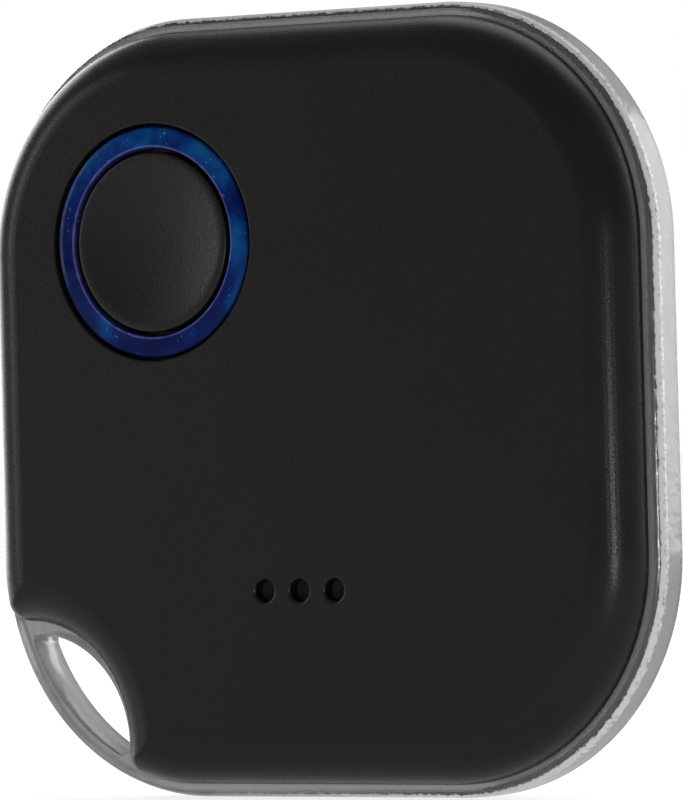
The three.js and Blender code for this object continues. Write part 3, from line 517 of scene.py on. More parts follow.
def ring_blue():
    """Deep blue plastic with painted shade on its inner slope and outer edge, a painted highlight line along
    its ridge and a few painted glints.
    """
    finish, tree = new_finish("ring_blue")
    cloud = speckle(tree, 2.2, detail=3)
    streak = speckle(tree, 0.5, detail=2)
    glint_noise = speckle(tree, 0.16, detail=1)
    where = node(tree, "ShaderNodeTexCoord").outputs["Object"]
    centre = stand_up(BUTTON[0], BUTTON[1], 0)
    flat = node(tree, "ShaderNodeVectorMath", {0: where, 1: (1, 0, 1)}, operation="MULTIPLY")
    reach = node(tree, "ShaderNodeVectorMath", {0: flat.outputs["Vector"], 1: (centre[0], 0, centre[2])},
                 operation="DISTANCE").outputs["Value"]
    inside, outside = RING_INNER * MM, RING_OUTER * MM
    share = between(tree, reach, 0.0, 1.0, inside, outside)
    deep = colours(tree, cloud, (0.3, (0.0, 0.004, 0.055)), (0.5, (0.001, 0.014, 0.11)),
                   (0.62, (0.002, 0.05, 0.20)), (0.75, (0.01, 0.10, 0.26)))
    # Painted shade: the blue is darkened on the ring's inner slope and at its outer edge.
    painted_bands = colours(tree, share, (0.0, grey(0.2)), (0.08, grey(0.3)), (0.16, grey(1.0)),
                   (0.85, grey(1.0)), (1.0, grey(0.3)))
    body = blend(tree, 1.0, deep, painted_bands, blend_type="MULTIPLY")
    # Painted highlight: a pale line along the ridge of the crown, broken up by noise.
    ridge = colours(tree, share, (0.07, grey(0)), (0.11, grey(0.6)), (0.15, grey(0.6)),
                    (0.20, grey(0)))
    ridge_highlight_mask = sum_up(tree, "MULTIPLY", ridge, between(tree, streak, 0.35, 1.0))
    ridge_highlighted = blend(tree, ridge_highlight_mask, body, (0.17, 0.16, 0.55, 1))
    # Painted glints: a few bright spots on the ring.
    painted_glints = between(tree, glint_noise, 0.0, 0.8, 0.72, 0.78)
    colour = blend(tree, painted_glints, ridge_highlighted, (0.10, 0.25, 0.60, 1))
    rough = between(tree, streak, 0.08, 0.22)
    normal = bumps(tree, (cloud, 0.4, 0.12), (streak, 0.15, 0.02))
    surface(tree, {
        "Base Color": colour, "Roughness": rough, "IOR": 1.5, "Specular IOR Level": 0.07,
    }, normal)
    return finish


def metal(name, dark, light, roughness, stretch=(1, 1, 1), size=0.4, depth=0.1):
    finish, tree = new_finish(name)
    stain = speckle(tree, 3.0, detail=4)
    brushed = speckle(tree, size, detail=3, stretch=stretch)
    colour = colours(tree, stain, (0.3, dark), (0.7, light))
    rough = between(tree, brushed, roughness - 0.07, roughness + 0.09)
    normal = bumps(tree, (brushed, depth, 0.01))
    surface(tree, {"Base Color": colour, "Metallic": 1.0, "Roughness": rough}, normal)
    return finish


def board_mask():
    """Green solder mask with copper tracks showing faintly through it."""
    finish, tree = new_finish("solder_mask")
    where = node(tree, "ShaderNodeTexCoord").outputs["Object"]
    turned_flat = node(tree, "ShaderNodeMapping", {"Vector": where, "Rotation": (QUARTER, 0, 0.0)})
    tracks = node(tree, "ShaderNodeTexBrick", {
        "Vector": turned_flat.outputs["Vector"], "Scale": 520.0, "Mortar Size": 0.05,
        "Mortar Smooth": 0.2, "Bias": 0.0, "Brick Width": 0.9, "Row Height": 0.35,
    }, offset=0.37)
    cloud = speckle(tree, 1.5, detail=3)
    base = colours(tree, cloud, (0.3, (0.004, 0.035, 0.016)), (0.7, (0.007, 0.05, 0.024)))
    colour = blend(tree, tracks.outputs["Fac"], base, (0.014, 0.085, 0.035, 1))
    rough = between(tree, speckle(tree, 0.2), 0.28, 0.42)
    normal = bumps(tree, (tracks.outputs["Fac"], 0.4, 0.02), (speckle(tree, 0.12), 0.1, 0.01))
    surface(tree, {"Base Color": colour, "Roughness": rough}, normal)
    return finish


COVER_BLACK = moulded("cover_black", grey(0.0042), grey(0.0058), 0.28, level=0.22, rubbed_and_highlit=grey(0.010))
BUTTON_BLACK = moulded("button_black", grey(0.0042), grey(0.0058), 0.30, grain=0.12, depth=0.6, level=0.24)
NATURAL = moulded("natural_plastic", (0.60, 0.60, 0.57), (0.68, 0.68, 0.65), 0.45, depth=0.2)
PACKAGE = moulded("package_black", grey(0.012), grey(0.02), 0.5, grain=0.05)
CERAMIC = moulded("fired_ceramic", (0.50, 0.42, 0.30), (0.62, 0.54, 0.41), 0.5, grain=0.06)
LED_WHITE = moulded("led_white", (0.72, 0.70, 0.60), (0.82, 0.80, 0.72), 0.3, grain=0.12, depth=0.1)
FILM = moulded("amber_film", (0.42, 0.20, 0.03), (0.52, 0.27, 0.05), 0.25, grain=0.4, depth=0.08)
GASKET = moulded("gasket_plastic", (0.02, 0.022, 0.025), (0.03, 0.032, 0.036), 0.45)
FELT = moulded("black_felt", grey(0.006), grey(0.012), 0.85, grain=0.05, depth=0.7)
CATHODE = moulded("manganese_pellet", grey(0.010), grey(0.02), 0.9, grain=0.06, depth=0.8)
LITHIUM = metal("lithium_disc", (0.34, 0.35, 0.37), (0.48, 0.49, 0.51), 0.45, size=0.3)
STEEL = metal("nickel_steel", (0.50, 0.50, 0.49), (0.60, 0.60, 0.59), 0.26, size=0.2, depth=0.03)
TIN = metal("tinned_copper", (0.55, 0.55, 0.54), (0.68, 0.68, 0.67), 0.3, size=0.12, depth=0.05)
BRASS = metal("rolled_brass", (0.50, 0.34, 0.12), (0.60, 0.43, 0.17), 0.3, (1, 1, 8))
GOLD = metal("gold_plate", (0.60, 0.42, 0.14), (0.72, 0.52, 0.20), 0.25, size=0.15)
CLEAR = clear_plastic()
RING_BLUE = ring_blue()
BOARD_GREEN = board_mask()


# ---- covers
SHOULDER_STEPS = 16
LIP_SOFTENING = 0.06


def shoulder(radius, height):
    """Rows of a quarter-round edge, from the lip side to the flat."""
    rows = []
    for i in range(SHOULDER_STEPS + 1):
        angle = QUARTER * i / SHOULDER_STEPS
        inset = radius * (1 - math.cos(angle))
        rows.append((case_outline(inset), height(radius * (1 - math.sin(angle)))))
    return rows


def cover_inside(lip, inside):
    past = math.copysign(SEAM, lip - inside)
    bend = inside + math.copysign(INNER_CHAMFER, lip - inside)
    rows = [
        (case_outline(COVER_WALL), lip + past),
        (case_outline(COVER_WALL), bend),
        (case_outline(COVER_WALL + INNER_CHAMFER), inside),
    ]
    return loft("inside", rows if lip < inside else rows[::-1])


def mark_rim(mesh, low, high):
    """Records how near each point is to the cover's lip, where hands rub it and where a painted highlight
    lies.
    """
    rim = mesh.attributes.new("rim", "FLOAT", "POINT")
    for vertex, value in zip(mesh.vertices, rim.data):
        z = BACK - vertex.co.y / MM
        value.value = min(1.0, max(0.0, (z - low) / (high - low)))


def front_cover():
    lip = [(case_outline(LIP_SOFTENING), FRONT_LIP), (case_outline(0), FRONT_LIP + LIP_SOFTENING)]
    outside = loft("outside", lip + shoulder(FRONT_SHOULDER, lambda down: THICKNESS - down))
    collar_room = RING_OUTER + RING_FLANGE + FIT
    rim = 0.1
    ring_hole = stepped(BUTTON, [
        (RING_HOLE, 0), (RING_HOLE, THICKNESS - rim), (RING_HOLE + 0.3 * rim, THICKNESS - 0.3 * rim),
        (RING_HOLE + rim, THICKNESS), (RING_HOLE + 2 * rim, THICKNESS + rim),
    ], 160)
    steps = [
        ("cut", cover_inside(FRONT_LIP, FRONT_INSIDE)),
        ("join", disc(BUTTON, collar_room + 0.5, RING_FOOT[0] - FIT, FRONT_INSIDE + SEAM)),
        ("cut", disc(BUTTON, collar_room, 0, FRONT_INSIDE)),
        ("cut", ring_hole),
        ("cut", prism(slot_outline(0.65 + FIT / 2), FRONT_INSIDE - 1, FRONT_INSIDE + 0.15)),
    ]
    edge = 0.14
    for i in range(SOUND_HOLES):
        at = ((i - (SOUND_HOLES - 1) / 2) * SOUND_HOLE_PITCH, SOUND_HOLE_Y)
        radius = SOUND_HOLE_RADIUS - 0.04
        steps.append(("cut", stepped(at, [
            (radius, FRONT_LIP), (radius, THICKNESS - edge),
            (radius + 0.12 * edge, THICKNESS - 0.5 * edge), (radius + 0.5 * edge, THICKNESS - 0.12 * edge),
            (radius + edge, THICKNESS), (radius + 2 * edge, THICKNESS + edge / 4),
        ], 48)))
    mesh = tidy_mesh(carve(outside, steps), "front_cover_shell")
    mark_rim(mesh, THICKNESS - 0.9 * FRONT_SHOULDER, FRONT_LIP)
    return piece("front_cover_shell", mesh, COVER_BLACK, "housing", "cover_black", "front_cover")


def rear_cover():
    lip = [(case_outline(0), REAR_LIP - LIP_SOFTENING), (case_outline(LIP_SOFTENING), REAR_LIP)]
    outside = loft("outside", shoulder(REAR_SHOULDER, lambda up: up)[::-1] + lip)
    outer = COVER_HALF - COVER_WALL - FIT
    pry = block((-HALF, 0.45 - COVER_HALF), (-2.5, 2.5), (REAR_LIP - 0.5, REAR_LIP + SEAM))
    steps = [("cut", cover_inside(REAR_LIP, REAR_SKIN)), ("cut", pry)]
    for k in range(4):
        steps.append(("join", block((outer - 0.8, outer), (-2, 2), (REAR_SKIN - SEAM, REAR_LIP + 0.3),
                                    turn=90 * k)))
    mesh = tidy_mesh(carve(outside, steps), "rear_cover_shell")
    mark_rim(mesh, 0.9 * REAR_SHOULDER, REAR_LIP)
    return piece("rear_cover_shell", mesh, COVER_BLACK, "back", "cover_black", "rear_cover")


# ---- clear frame
ROUND_STEPS = 16
FRAME_GROOVE = 0.035  # depth of the fine groove in the frame's rounded front edge
GROOVE_ROWS = (5, 6, 7)


def square_inset(x, y):
    """How far a point lies inside the frame's outer outline."""
    c = HALF - CORNER
    beyond_x, beyond_y = abs(x) - c, abs(y) - c
    if beyond_x > 0 and beyond_y > 0:
        return CORNER - math.hypot(beyond_x, beyond_y)
    return HALF - max(abs(x), abs(y))


def mark_painted_bands(mesh):
    """Marks how far round the front edge each point lies, and where the painted highlight and painted shade
    bands fade out towards the lower left.
    """
    across = mesh.attributes.new("across", "FLOAT", "POINT")
    painted_band_share = mesh.attributes.new("painted_band_share", "FLOAT", "POINT")
    for vertex, place, share in zip(mesh.vertices, across.data, painted_band_share.data):
        x, y, z = vertex.co.x / MM, vertex.co.z / MM - HALF, BACK - vertex.co.y / MM
        inset = square_inset(x, y)
        down = FRAME_FRONT - FRAME_FRONT_ROUND - z
        if inset < FRAME_FRONT_ROUND + 0.01 and (down < 0 or inset < 0.3):
            place.value = 1 + down if down > 0 else 1 - inset / FRAME_FRONT_ROUND
            share.value = min(1.0, max(0.0, (x + y + 20) / 8))
        else:
            place.value = -0.4


def clear_frame():
    def rounded(radius, z, out):
        rows = []
        for i in range(ROUND_STEPS + 1):
            angle = QUARTER * i / ROUND_STEPS
            groove = FRAME_GROOVE if out > 0 and i in GROOVE_ROWS else 0.0
            inset = radius * (1 - math.sin(angle)) + groove
            level = z + out * (radius * (math.cos(angle) - 1) - groove)
            rows.append((square_outline(HALF - inset, CORNER - inset), level))
        return rows

    outside = loft("outside", rounded(FRAME_REAR_ROUND, FRAME_REAR, -1)
                   + rounded(FRAME_FRONT_ROUND, FRAME_FRONT, 1)[::-1])
    soft = 0.12
    loop = loft("loop", [
        (loop_outline(soft), FRAME_REAR - 0.01), (loop_outline(0.3 * soft), FRAME_REAR + 0.3 * soft),
        (loop_outline(), FRAME_REAR + soft), (loop_outline(), FRAME_FRONT - soft),
        (loop_outline(0.3 * soft), FRAME_FRONT - 0.3 * soft), (loop_outline(soft), FRAME_FRONT + 0.01),
    ])
    seat = 0.02
    steps = [
        ("cut", prism(case_outline(COVER_WALL), 0, THICKNESS)),
        ("cut", loop),
        ("cut", prism(case_outline(0.05), 0, FRAME_REAR + seat)),
    ]
    mesh = tidy_mesh(carve(outside, steps), "clear_frame_moulding")
    mark_painted_bands(mesh)
    frost = mesh.attributes.new("frost", "FLOAT", "FACE")
    for face, value in zip(mesh.polygons, frost.data):
        at = Vector((face.center.x / MM, face.center.z / MM - HALF))
        inwards = -(at.x * face.normal.x + at.y * face.normal.z) / at.length
        wall = inwards > 0.4 and (at - Vector(NOTCH)).length > NOTCH_RADIUS + 0.4
        glued = abs(BACK - face.center.y / MM - FRAME_REAR - seat) < 0.005 and face.normal.y > 0.9
        value.value = float(wall or glued)
    return piece("clear_frame_moulding", mesh, CLEAR, "housing", "clear_plastic", "clear_frame")


# ---- inner carrier
def inner_carrier():
    low, high = CARRIER_LEVELS
    pocket_front = CELL_FRONT - SEAM
    wall_inside = COVER_HALF - CARRIER_INSIDE
    reach = wall_inside + 0.45
    rib = 0.65
    web = 2.1
    stakes = [(CELL[0], wall_inside - 4.5), (4.5 - wall_inside, CELL[1])]
    rib_top = BOARD_LEVELS[0] - SEAM
    steps = [
        ("cut", prism(case_outline(CARRIER_INSIDE), 0, THICKNESS)),
        ("join", disc(CELL, POCKET_OUTSIDE, low, pocket_front, 160)),
        ("join", block((CELL[0] - rib, CELL[0] + rib), (CELL[1] + POCKET_RADIUS, reach), (low, rib_top))),
        ("join", block((-reach, CELL[0] - POCKET_RADIUS), (CELL[1] - rib, CELL[1] + rib), (low, rib_top))),
        ("join", block((CELL[0] + 9, reach), (CELL[1] - web, CELL[1] + web), (low, pocket_front))),
        ("join", block((CELL[0] - web, CELL[0] + web), (-reach, CELL[1] - 9), (low, pocket_front))),
        ("cut", disc(CELL, POCKET_RADIUS, 0, CELL_FRONT + SEAM, 160)),
    ]
    for angle in (-100, -10, 60):
        steps.append(("join", block((CELL_RADIUS - 0.6, POCKET_OUTSIDE - 0.1), (-1.3, 1.3),
                                    (CELL_FRONT + SEAM, CELL_FRONT + SEAM + 0.22), angle, CELL)))
        steps.append(("join", block((POCKET_RADIUS + 0.1, POCKET_OUTSIDE - 0.1), (-1.3, 1.3),
                                    (CELL_FRONT - 0.3, CELL_FRONT + SEAM + 0.1), angle, CELL)))
    for at in stakes:
        head = BOARD_LEVELS[1] + SEAM
        steps.append(("join", stepped(at, [
            (0.5, BOARD_LEVELS[0] - 0.1), (0.5, head), (0.85, head), (0.85, head + 0.12),
            (0.7, head + 0.24), (0.4, head + 0.3),
        ], 48)))
    steps.append(("cut", block((5, POCKET_OUTSIDE + 0.1), (-1.9, 1.9), (low - 1, CELL_FRONT + 1), 152, CELL)))
    outer = COVER_HALF - COVER_WALL
    for k in range(4):
        steps.append(("cut", block((outer - 1.0, outer), (-2.1, 2.1), (0, REAR_LIP + 0.4), turn=90 * k)))
    mesh = carve(prism(case_outline(CARRIER_INSET), low, high), steps)
    mesh = tidy_mesh(mesh, "inner_carrier_moulding")
    return piece("inner_carrier_moulding", mesh, NATURAL, "housing", "natural_plastic", "inner_carrier")


# ---- turned pieces
def new_tree(name, **inputs):
    """An empty geometry tree with the given inputs, in order, and one output called Made."""
    tree = bpy.data.node_groups.new(name, "GeometryNodeTree")
    for label, kind in inputs.items():
        tree.interface.new_socket(label, in_out="INPUT", socket_type="NodeSocket" + kind)
    tree.interface.new_socket("Made", in_out="OUTPUT", socket_type="NodeSocketGeometry")
    return tree, node(tree, "NodeGroupInput").outputs


def close_tree(tree, geometry, finish):
    """Makes the copies real, gives them their finish and ends the tree."""
    real = node(tree, "GeometryNodeRealizeInstances", {"Geometry": geometry}).outputs["Geometry"]
    painted = node(tree, "GeometryNodeSetMaterial", {"Geometry": real, "Material": finish})
    node(tree, "NodeGroupOutput", {"Made": painted.outputs["Geometry"]})
    return tree


def turning_tree():
    """Turns the profile that comes in (a chain of points, x outwards and z up) round its axis."""
    tree, given = new_tree("turn_profile", Profile="Geometry", Steps="Int", Points="Int",
                           Centre="Vector", Finish="Material")
    columns = sum_up(tree, "ADD", given["Steps"], 1.0)
    grid = node(tree, "GeometryNodeMeshGrid", {
        "Size X": 1.0, "Size Y": 1.0, "Vertices X": given["Points"], "Vertices Y": columns,
    })
    index = node(tree, "GeometryNodeInputIndex").outputs[0]
    along = sum_up(tree, "FLOOR", sum_up(tree, "DIVIDE", index, columns))
    across = sum_up(tree, "FLOORED_MODULO", index, columns)
    angle = sum_up(tree, "DIVIDE", sum_up(tree, "MULTIPLY", across, 2 * math.pi), given["Steps"])
    place = node(tree, "GeometryNodeInputPosition").outputs[0]
    sampled = node(tree, "GeometryNodeSampleIndex", {
        "Geometry": given["Profile"], "Value": place, "Index": along,
    }, data_type="FLOAT_VECTOR", domain="POINT")
    spun = node(tree, "ShaderNodeVectorRotate", {
        "Vector": sampled.outputs[0], "Center": (0, 0, 0), "Axis": (0, 1, 0), "Angle": angle,
    }, rotation_type="AXIS_ANGLE")
    moved = node(tree, "ShaderNodeVectorMath", {0: spun.outputs[0], 1: given["Centre"]}, operation="ADD")
    skin = node(tree, "GeometryNodeSetPosition", {
        "Geometry": grid.outputs["Mesh"], "Position": moved.outputs[0],
    })
    welded = node(tree, "GeometryNodeMergeByDistance", {
        "Geometry": skin.outputs["Geometry"], "Distance": 0.0005 * MM,
    })
    return close_tree(tree, welded.outputs["Geometry"], given["Finish"])


TURNING = turning_tree()


def set_inputs(modifier, **values):
    """Sets a geometry tree's inputs by the identifiers of its sockets."""
    for item in modifier.node_group.interface.items_tree:
        if item.in_out == "INPUT" and item.name in values:
            modifier[item.identifier] = values[item.name]


def turned(name, centre, profile, finish, steps=144, sharp=30.0):
    """A turned solid from a closed (radius, height) profile round the given centre."""
    chain = [(radius * MM, -height * MM, 0.0) for radius, height in profile]
    mesh = bpy.data.meshes.new(name)
    mesh.from_pydata(chain, [(i, i + 1) for i in range(len(chain) - 1)], [])
    made = link(name, mesh)
    modifier = made.modifiers.new("turning", "NODES")
    modifier.node_group = TURNING
    base = stand_up(centre[0], centre[1], 0)
    set_inputs(modifier, Steps=steps, Points=len(chain), Centre=base, Finish=finish)
    result = plain_copy(made)
    drop(made)
    return tidy_mesh(result, name, sharp, flat_area=100.0)


def rounded_corner(radius_at, height_at, size, start, end, steps=5):
    """Points of a small round on a profile, centred at the given radius and height."""
    return arc((radius_at, height_at), size, start, end, steps)


def light_ring():
    foot_low, foot_high = RING_FOOT
    ridge = RING_INNER + RING_RIDGE
    flange = RING_OUTER + RING_FLANGE
    profile = [
        (RING_INNER, foot_low), (flange, foot_low), (flange, foot_high), (RING_OUTER, foot_high),
        *rounded_corner(RING_OUTER - 0.14, RING_CROWN - 0.2, 0.14, 0, QUARTER * 0.9),
        (RING_OUTER - 0.35, RING_CROWN - 0.04),
        (ridge + 0.12, RING_CROWN - 0.012),
        *rounded_corner(ridge, RING_CROWN - 0.06, 0.06, QUARTER * 0.9, QUARTER * 1.6),
        (RING_INNER + 0.08, RING_CROWN - 0.2),
        *rounded_corner(RING_INNER + 0.08, RING_CROWN - 0.28, 0.08, QUARTER * 1.3, 2 * QUARTER),
        (RING_INNER, foot_low),
    ]
    ring = turned("light_ring_body", BUTTON, profile, RING_BLUE)
    steps = []
    circle = (RING_OUTER + RING_INNER) / 2
    for i in range(PIPES):
        angle = 2 * math.pi * (i + 0.5) / PIPES
        at = (BUTTON[0] + circle * math.cos(angle), BUTTON[1] + circle * math.sin(angle))
        steps.append(("join", disc(at, PIPE_RADIUS, 4.28, foot_low + SEAM, 32)))
    mesh = tidy_mesh(carve(ring, steps), "light_ring_body", flat_area=100.0)
    return piece("light_ring_body", mesh, RING_BLUE, "housing", "ring_blue", "light_ring")


def button_cap():
    low, high = 4.57, 4.87
    hollow = BUTTON_RADIUS - 0.7
    ceiling = BUTTON_RIM - 0.75
    flange = RING_INNER + 0.42
    rim = 0.35
    dish_width = BUTTON_RADIUS - rim
    dish = []
    for i in range(25):
        share = i / 24
        dish.append((dish_width * (1 - share), BUTTON_RIM - BUTTON_DISH * (1 - (1 - share) ** 2)))
    plunger_front = 4.84
    profile = [
        (0, plunger_front + SEAM), (0.8, plunger_front + SEAM), (0.8, ceiling), (hollow, ceiling),
        (hollow, low), (flange, low), (flange, high), (BUTTON_RADIUS, high),
        *rounded_corner(BUTTON_RADIUS - 0.15, BUTTON_RIM - 0.15, 0.15, 0, QUARTER, 6),
        *dish,
    ]
    mesh = turned("button_cap_body", BUTTON, profile, BUTTON_BLACK)
    return piece("button_cap_body", mesh, BUTTON_BLACK, "button", "cover_black", "button_cap")


def cell():
    wall = 0.25
    rim = CELL_FRONT - 0.35
    inner = CELL_RADIUS - wall
    can = [
        (0, CELL_REAR), (CELL_RADIUS - 1.25, CELL_REAR), (CELL_RADIUS - 1.1, CELL_REAR + 0.03),
        (CELL_RADIUS - 0.95, CELL_REAR),
        *rounded_corner(CELL_RADIUS - 0.3, CELL_REAR + 0.3, 0.3, -QUARTER, 0),
        *rounded_corner(CELL_RADIUS - 0.18, rim - 0.18, 0.18, 0, QUARTER),
        (inner, rim), (inner, CELL_REAR + wall), (0, CELL_REAR + wall),
    ]
    mesh = turned("cell_can_body", CELL, can, STEEL)
    piece("cell_can_body", mesh, STEEL, "cell", "steel", "cell_can")
    outer = CELL_RADIUS - wall - 0.55 - 2 * SEAM
    skirt_top = CELL_FRONT - 0.35
    cap = [
        (outer - wall, skirt_top - 0.8), (outer, skirt_top - 0.8), (outer, skirt_top),
        *rounded_corner(CAP_RADIUS - 0.1, CELL_FRONT - 0.3, 0.3, QUARTER * 0.55, QUARTER),
        (0, CELL_FRONT), (0, CELL_FRONT - wall), (CAP_RADIUS - wall / 2, CELL_FRONT - wall),
        (outer - wall, skirt_top - wall), (outer - wall, skirt_top - 0.8),
    ]
    mesh = turned("cell_cap_body", CELL, cap, STEEL)
    piece("cell_cap_body", mesh, STEEL, "cell", "steel", "cell_cap")


# ---- parts on the board
def local_box(name):
    low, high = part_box(name)
    return (
        (low.x / MM, high.x / MM),
        (low.z / MM - HALF, high.z / MM - HALF),
        (BACK - high.y / MM, BACK - low.y / MM),
    )


def soft_block(x_range, y_range, z_range, edge, turn=0.0, about=(0, 0), segments=3):
    """A block with rounded edges."""
    mesh = block(x_range, y_range, z_range, turn, about)
    work = bmesh.new()
    work.from_mesh(mesh)
    bmesh.ops.bevel(work, geom=work.edges[:], offset=edge * MM, segments=segments, affect="EDGES",
                    profile=0.5, clamp_overlap=True)
    work.to_mesh(mesh)
    work.free()
    return mesh


def middle(span):
    return (span[0] + span[1]) / 2


def shrunk(span, amount):
    return (span[0] + amount, span[1] - amount)


def moulded_package(name, finish, slot, edge=0.07, dimple=None, well=None):
    """A chip's body with rounded edges, a key dimple in one corner or a round well."""
    x, y, z = local_box(name)
    steps = []
    if dimple:
        steps.append(("cut", disc((x[0] + dimple, y[1] - dimple), dimple / 3, z[0] - 1, z[0] + 0.06, 32)))
    if well:
        steps.append(("cut", stepped((middle(x), middle(y)), [
            (well + 0.06, z[0] - 0.01), (well, z[0] + 0.06), (well, z[0] + 0.2),
        ], 48)))
    mesh = carve(soft_block(x, y, z, edge), steps)
    made = name + "_body"
    return piece(made, tidy_mesh(mesh, made), finish, "housing", slot, name)


def lidded_crystal(name):
    """A crystal's can: a flat seat with a narrower rounded lid."""
    x, y, z = local_box(name)
    step = z[1] - 0.4 * (z[1] - z[0])
    seat = soft_block(x, y, (step, z[1]), 0.04)
    lid = soft_block(shrunk(x, 0.16), shrunk(y, 0.16), (z[0], step + 0.1), 0.08)
    mesh = tidy_mesh(carve(seat, [("join", lid)]), name + "_can")
    return piece(name + "_can", mesh, STEEL, "housing", "steel", name)


def repeat_tree():
    """Sets a copy of the shape on every point, sized and turned by the point's attributes."""
    tree, given = new_tree("repeat_shape", Points="Geometry", Shape="Object", Finish="Material")
    shape = node(tree, "GeometryNodeObjectInfo", {"Object": given["Shape"]})
    spots = node(tree, "GeometryNodeMeshToPoints", {"Mesh": given["Points"]})
    size = node(tree, "GeometryNodeInputNamedAttribute", {"Name": "size"}, data_type="FLOAT_VECTOR")
    turn = node(tree, "GeometryNodeInputNamedAttribute", {"Name": "turn"}, data_type="FLOAT_VECTOR")
    copies = node(tree, "GeometryNodeInstanceOnPoints", {
        "Points": spots.outputs["Points"], "Instance": shape.outputs["Geometry"],
        "Rotation": turn.outputs["Attribute"], "Scale": size.outputs["Attribute"],
    })
    return close_tree(tree, copies.outputs["Instances"], given["Finish"])


REPEATING = repeat_tree()


def repeat(name, shape_mesh, spots, finish, body, slot):
    """One piece from many copies; each spot is ((x, y, z), (size x, size y, size z), turn)."""
    shape = link("shape", shape_mesh)
    points = bpy.data.meshes.new(name)
    points.from_pydata([stand_up(*spot[0]) for spot in spots], [], [])
    size = points.attributes.new("size", "FLOAT_VECTOR", "POINT")
    turn = points.attributes.new("turn", "FLOAT_VECTOR", "POINT")
    for i, (_, (sx, sy, sz), angle) in enumerate(spots):
        size.data[i].vector = (sx, sz, sy)
        turn.data[i].vector = (0, -math.radians(angle), 0)
    made = link(name, points)
    modifier = made.modifiers.new("repeating", "NODES")
    modifier.node_group = REPEATING
    set_inputs(modifier, Shape=shape, Finish=finish)
    mesh = plain_copy(made)
    drop(made)
    drop(shape)
    return piece(name, tidy_mesh(mesh, name), finish, body, slot)


def unit_block():
    """A rounded block one millimetre each way, round the origin."""
    mesh = soft_block((-0.5, 0.5), (-0.5, 0.5), (-0.5, 0.5), 0.12, segments=2)
    mesh.transform(Matrix.Translation((0, -BACK * MM, -HALF * MM)))
    return mesh


def unit_eyelet(outer=0.5, inner=0.24, rise=0.06):
    """A plated hole's rim, one millimetre across, lying in the board's plane."""
    steps = 20
    rows = [(inner, 0), (outer, 0), (outer, 0.6 * rise), (outer - 0.06, rise), (inner + 0.05, rise),
            (inner, 0.6 * rise)]
    points = [(r * math.cos(a) * MM, -z * MM, r * math.sin(a) * MM)
              for r, z in rows for a in [2 * math.pi * i / steps for i in range(steps)]]
    faces = []
    for k in range(len(rows)):
        for i in range(steps):
            a, b = k * steps + i, k * steps + (i + 1) % steps
            c, d = [(v + steps) % len(points) for v in (b, a)]
            faces.append((a, b, c, d))
    mesh = bpy.data.meshes.new("eyelet")
    mesh.from_pydata(points, [], faces)
    return mesh


def end_caps(name, share=0.26, turn=0.0):
    """The two tinned ends of a small part, a little proud of its body."""
    x, y, z = local_box(name)
    centre = (middle(x), middle(y), middle(z))
    long_x = x[1] - x[0] >= y[1] - y[0]
    length = (x[1] - x[0]) if long_x else (y[1] - y[0])
    width = (y[1] - y[0]) if long_x else (x[1] - x[0])
    if turn:
        length, width = 3.2, 1.6
    angle = turn or (0 if long_x else 90)
    way = (math.cos(math.radians(angle)), math.sin(math.radians(angle)))
    spots = []
    for side in (-1, 1):
        reach = side * length * (1 - share) / 2
        at = (centre[0] + way[0] * reach, centre[1] + way[1] * reach, centre[2])
        spots.append((at, (length * share, width + 0.04, z[1] - z[0] + 0.03), angle))
    return spots


def edge_pads(name, per_side, pitch, size, sides=(0, 90, 180, 270)):
    """Pads that look out from under a chip's edges."""
    x, y, z = local_box(name)
    reach = {0: (x[1], 0), 90: (0, y[1]), 180: (x[0], 0), 270: (0, y[0])}
    spots = []
    level = z[1] - size[2] / 2
    for angle in sides:
        for i in range(per_side):
            along = (i - (per_side - 1) / 2) * pitch
            at = (middle(x) + along, reach[angle][1], level)
            if angle % 180 == 0:
                at = (reach[angle][0], middle(y) + along, level)
            spots.append((at, size, angle))
    return spots


SMALL_PARTS = [f"capacitor_{i}" for i in range(1, 6)] + [f"resistor_{i}" for i in range(1, 4)]
BOARD_PARTS = SMALL_PARTS + [
    "radio_chip", "crystal_main", "crystal_clock", "chip_antenna", "power_inductor", "buzzer_driver",
]


def board_parts():
    moulded_package("radio_chip", PACKAGE, "package_black", dimple=0.6)
    moulded_package("buzzer_driver", PACKAGE, "package_black", dimple=0.35)
    moulded_package("power_inductor", PACKAGE, "package_black", edge=0.2, well=1.0)
    lidded_crystal("crystal_main")
    lidded_crystal("crystal_clock")
    for name in SMALL_PARTS:
        resistor = name.startswith("resistor")
        finish, slot = (PACKAGE, "package_black") if resistor else (CERAMIC, "ceramic")
        moulded_package(name, finish, slot, edge=0.05)
    spots = edge_pads("radio_chip", 12, 0.38, (0.14, 0.2, 0.12))
    spots += edge_pads("buzzer_driver", 3, 0.95, (0.3, 0.35, 0.16), (0, 180))
    for name in SMALL_PARTS:
        spots += end_caps(name)
    spots += end_caps("power_inductor", 0.16)
    spots += end_caps("chip_antenna", 0.16, -45)
    repeat("board_terminals", unit_block(), spots, TIN, "housing", "steel")


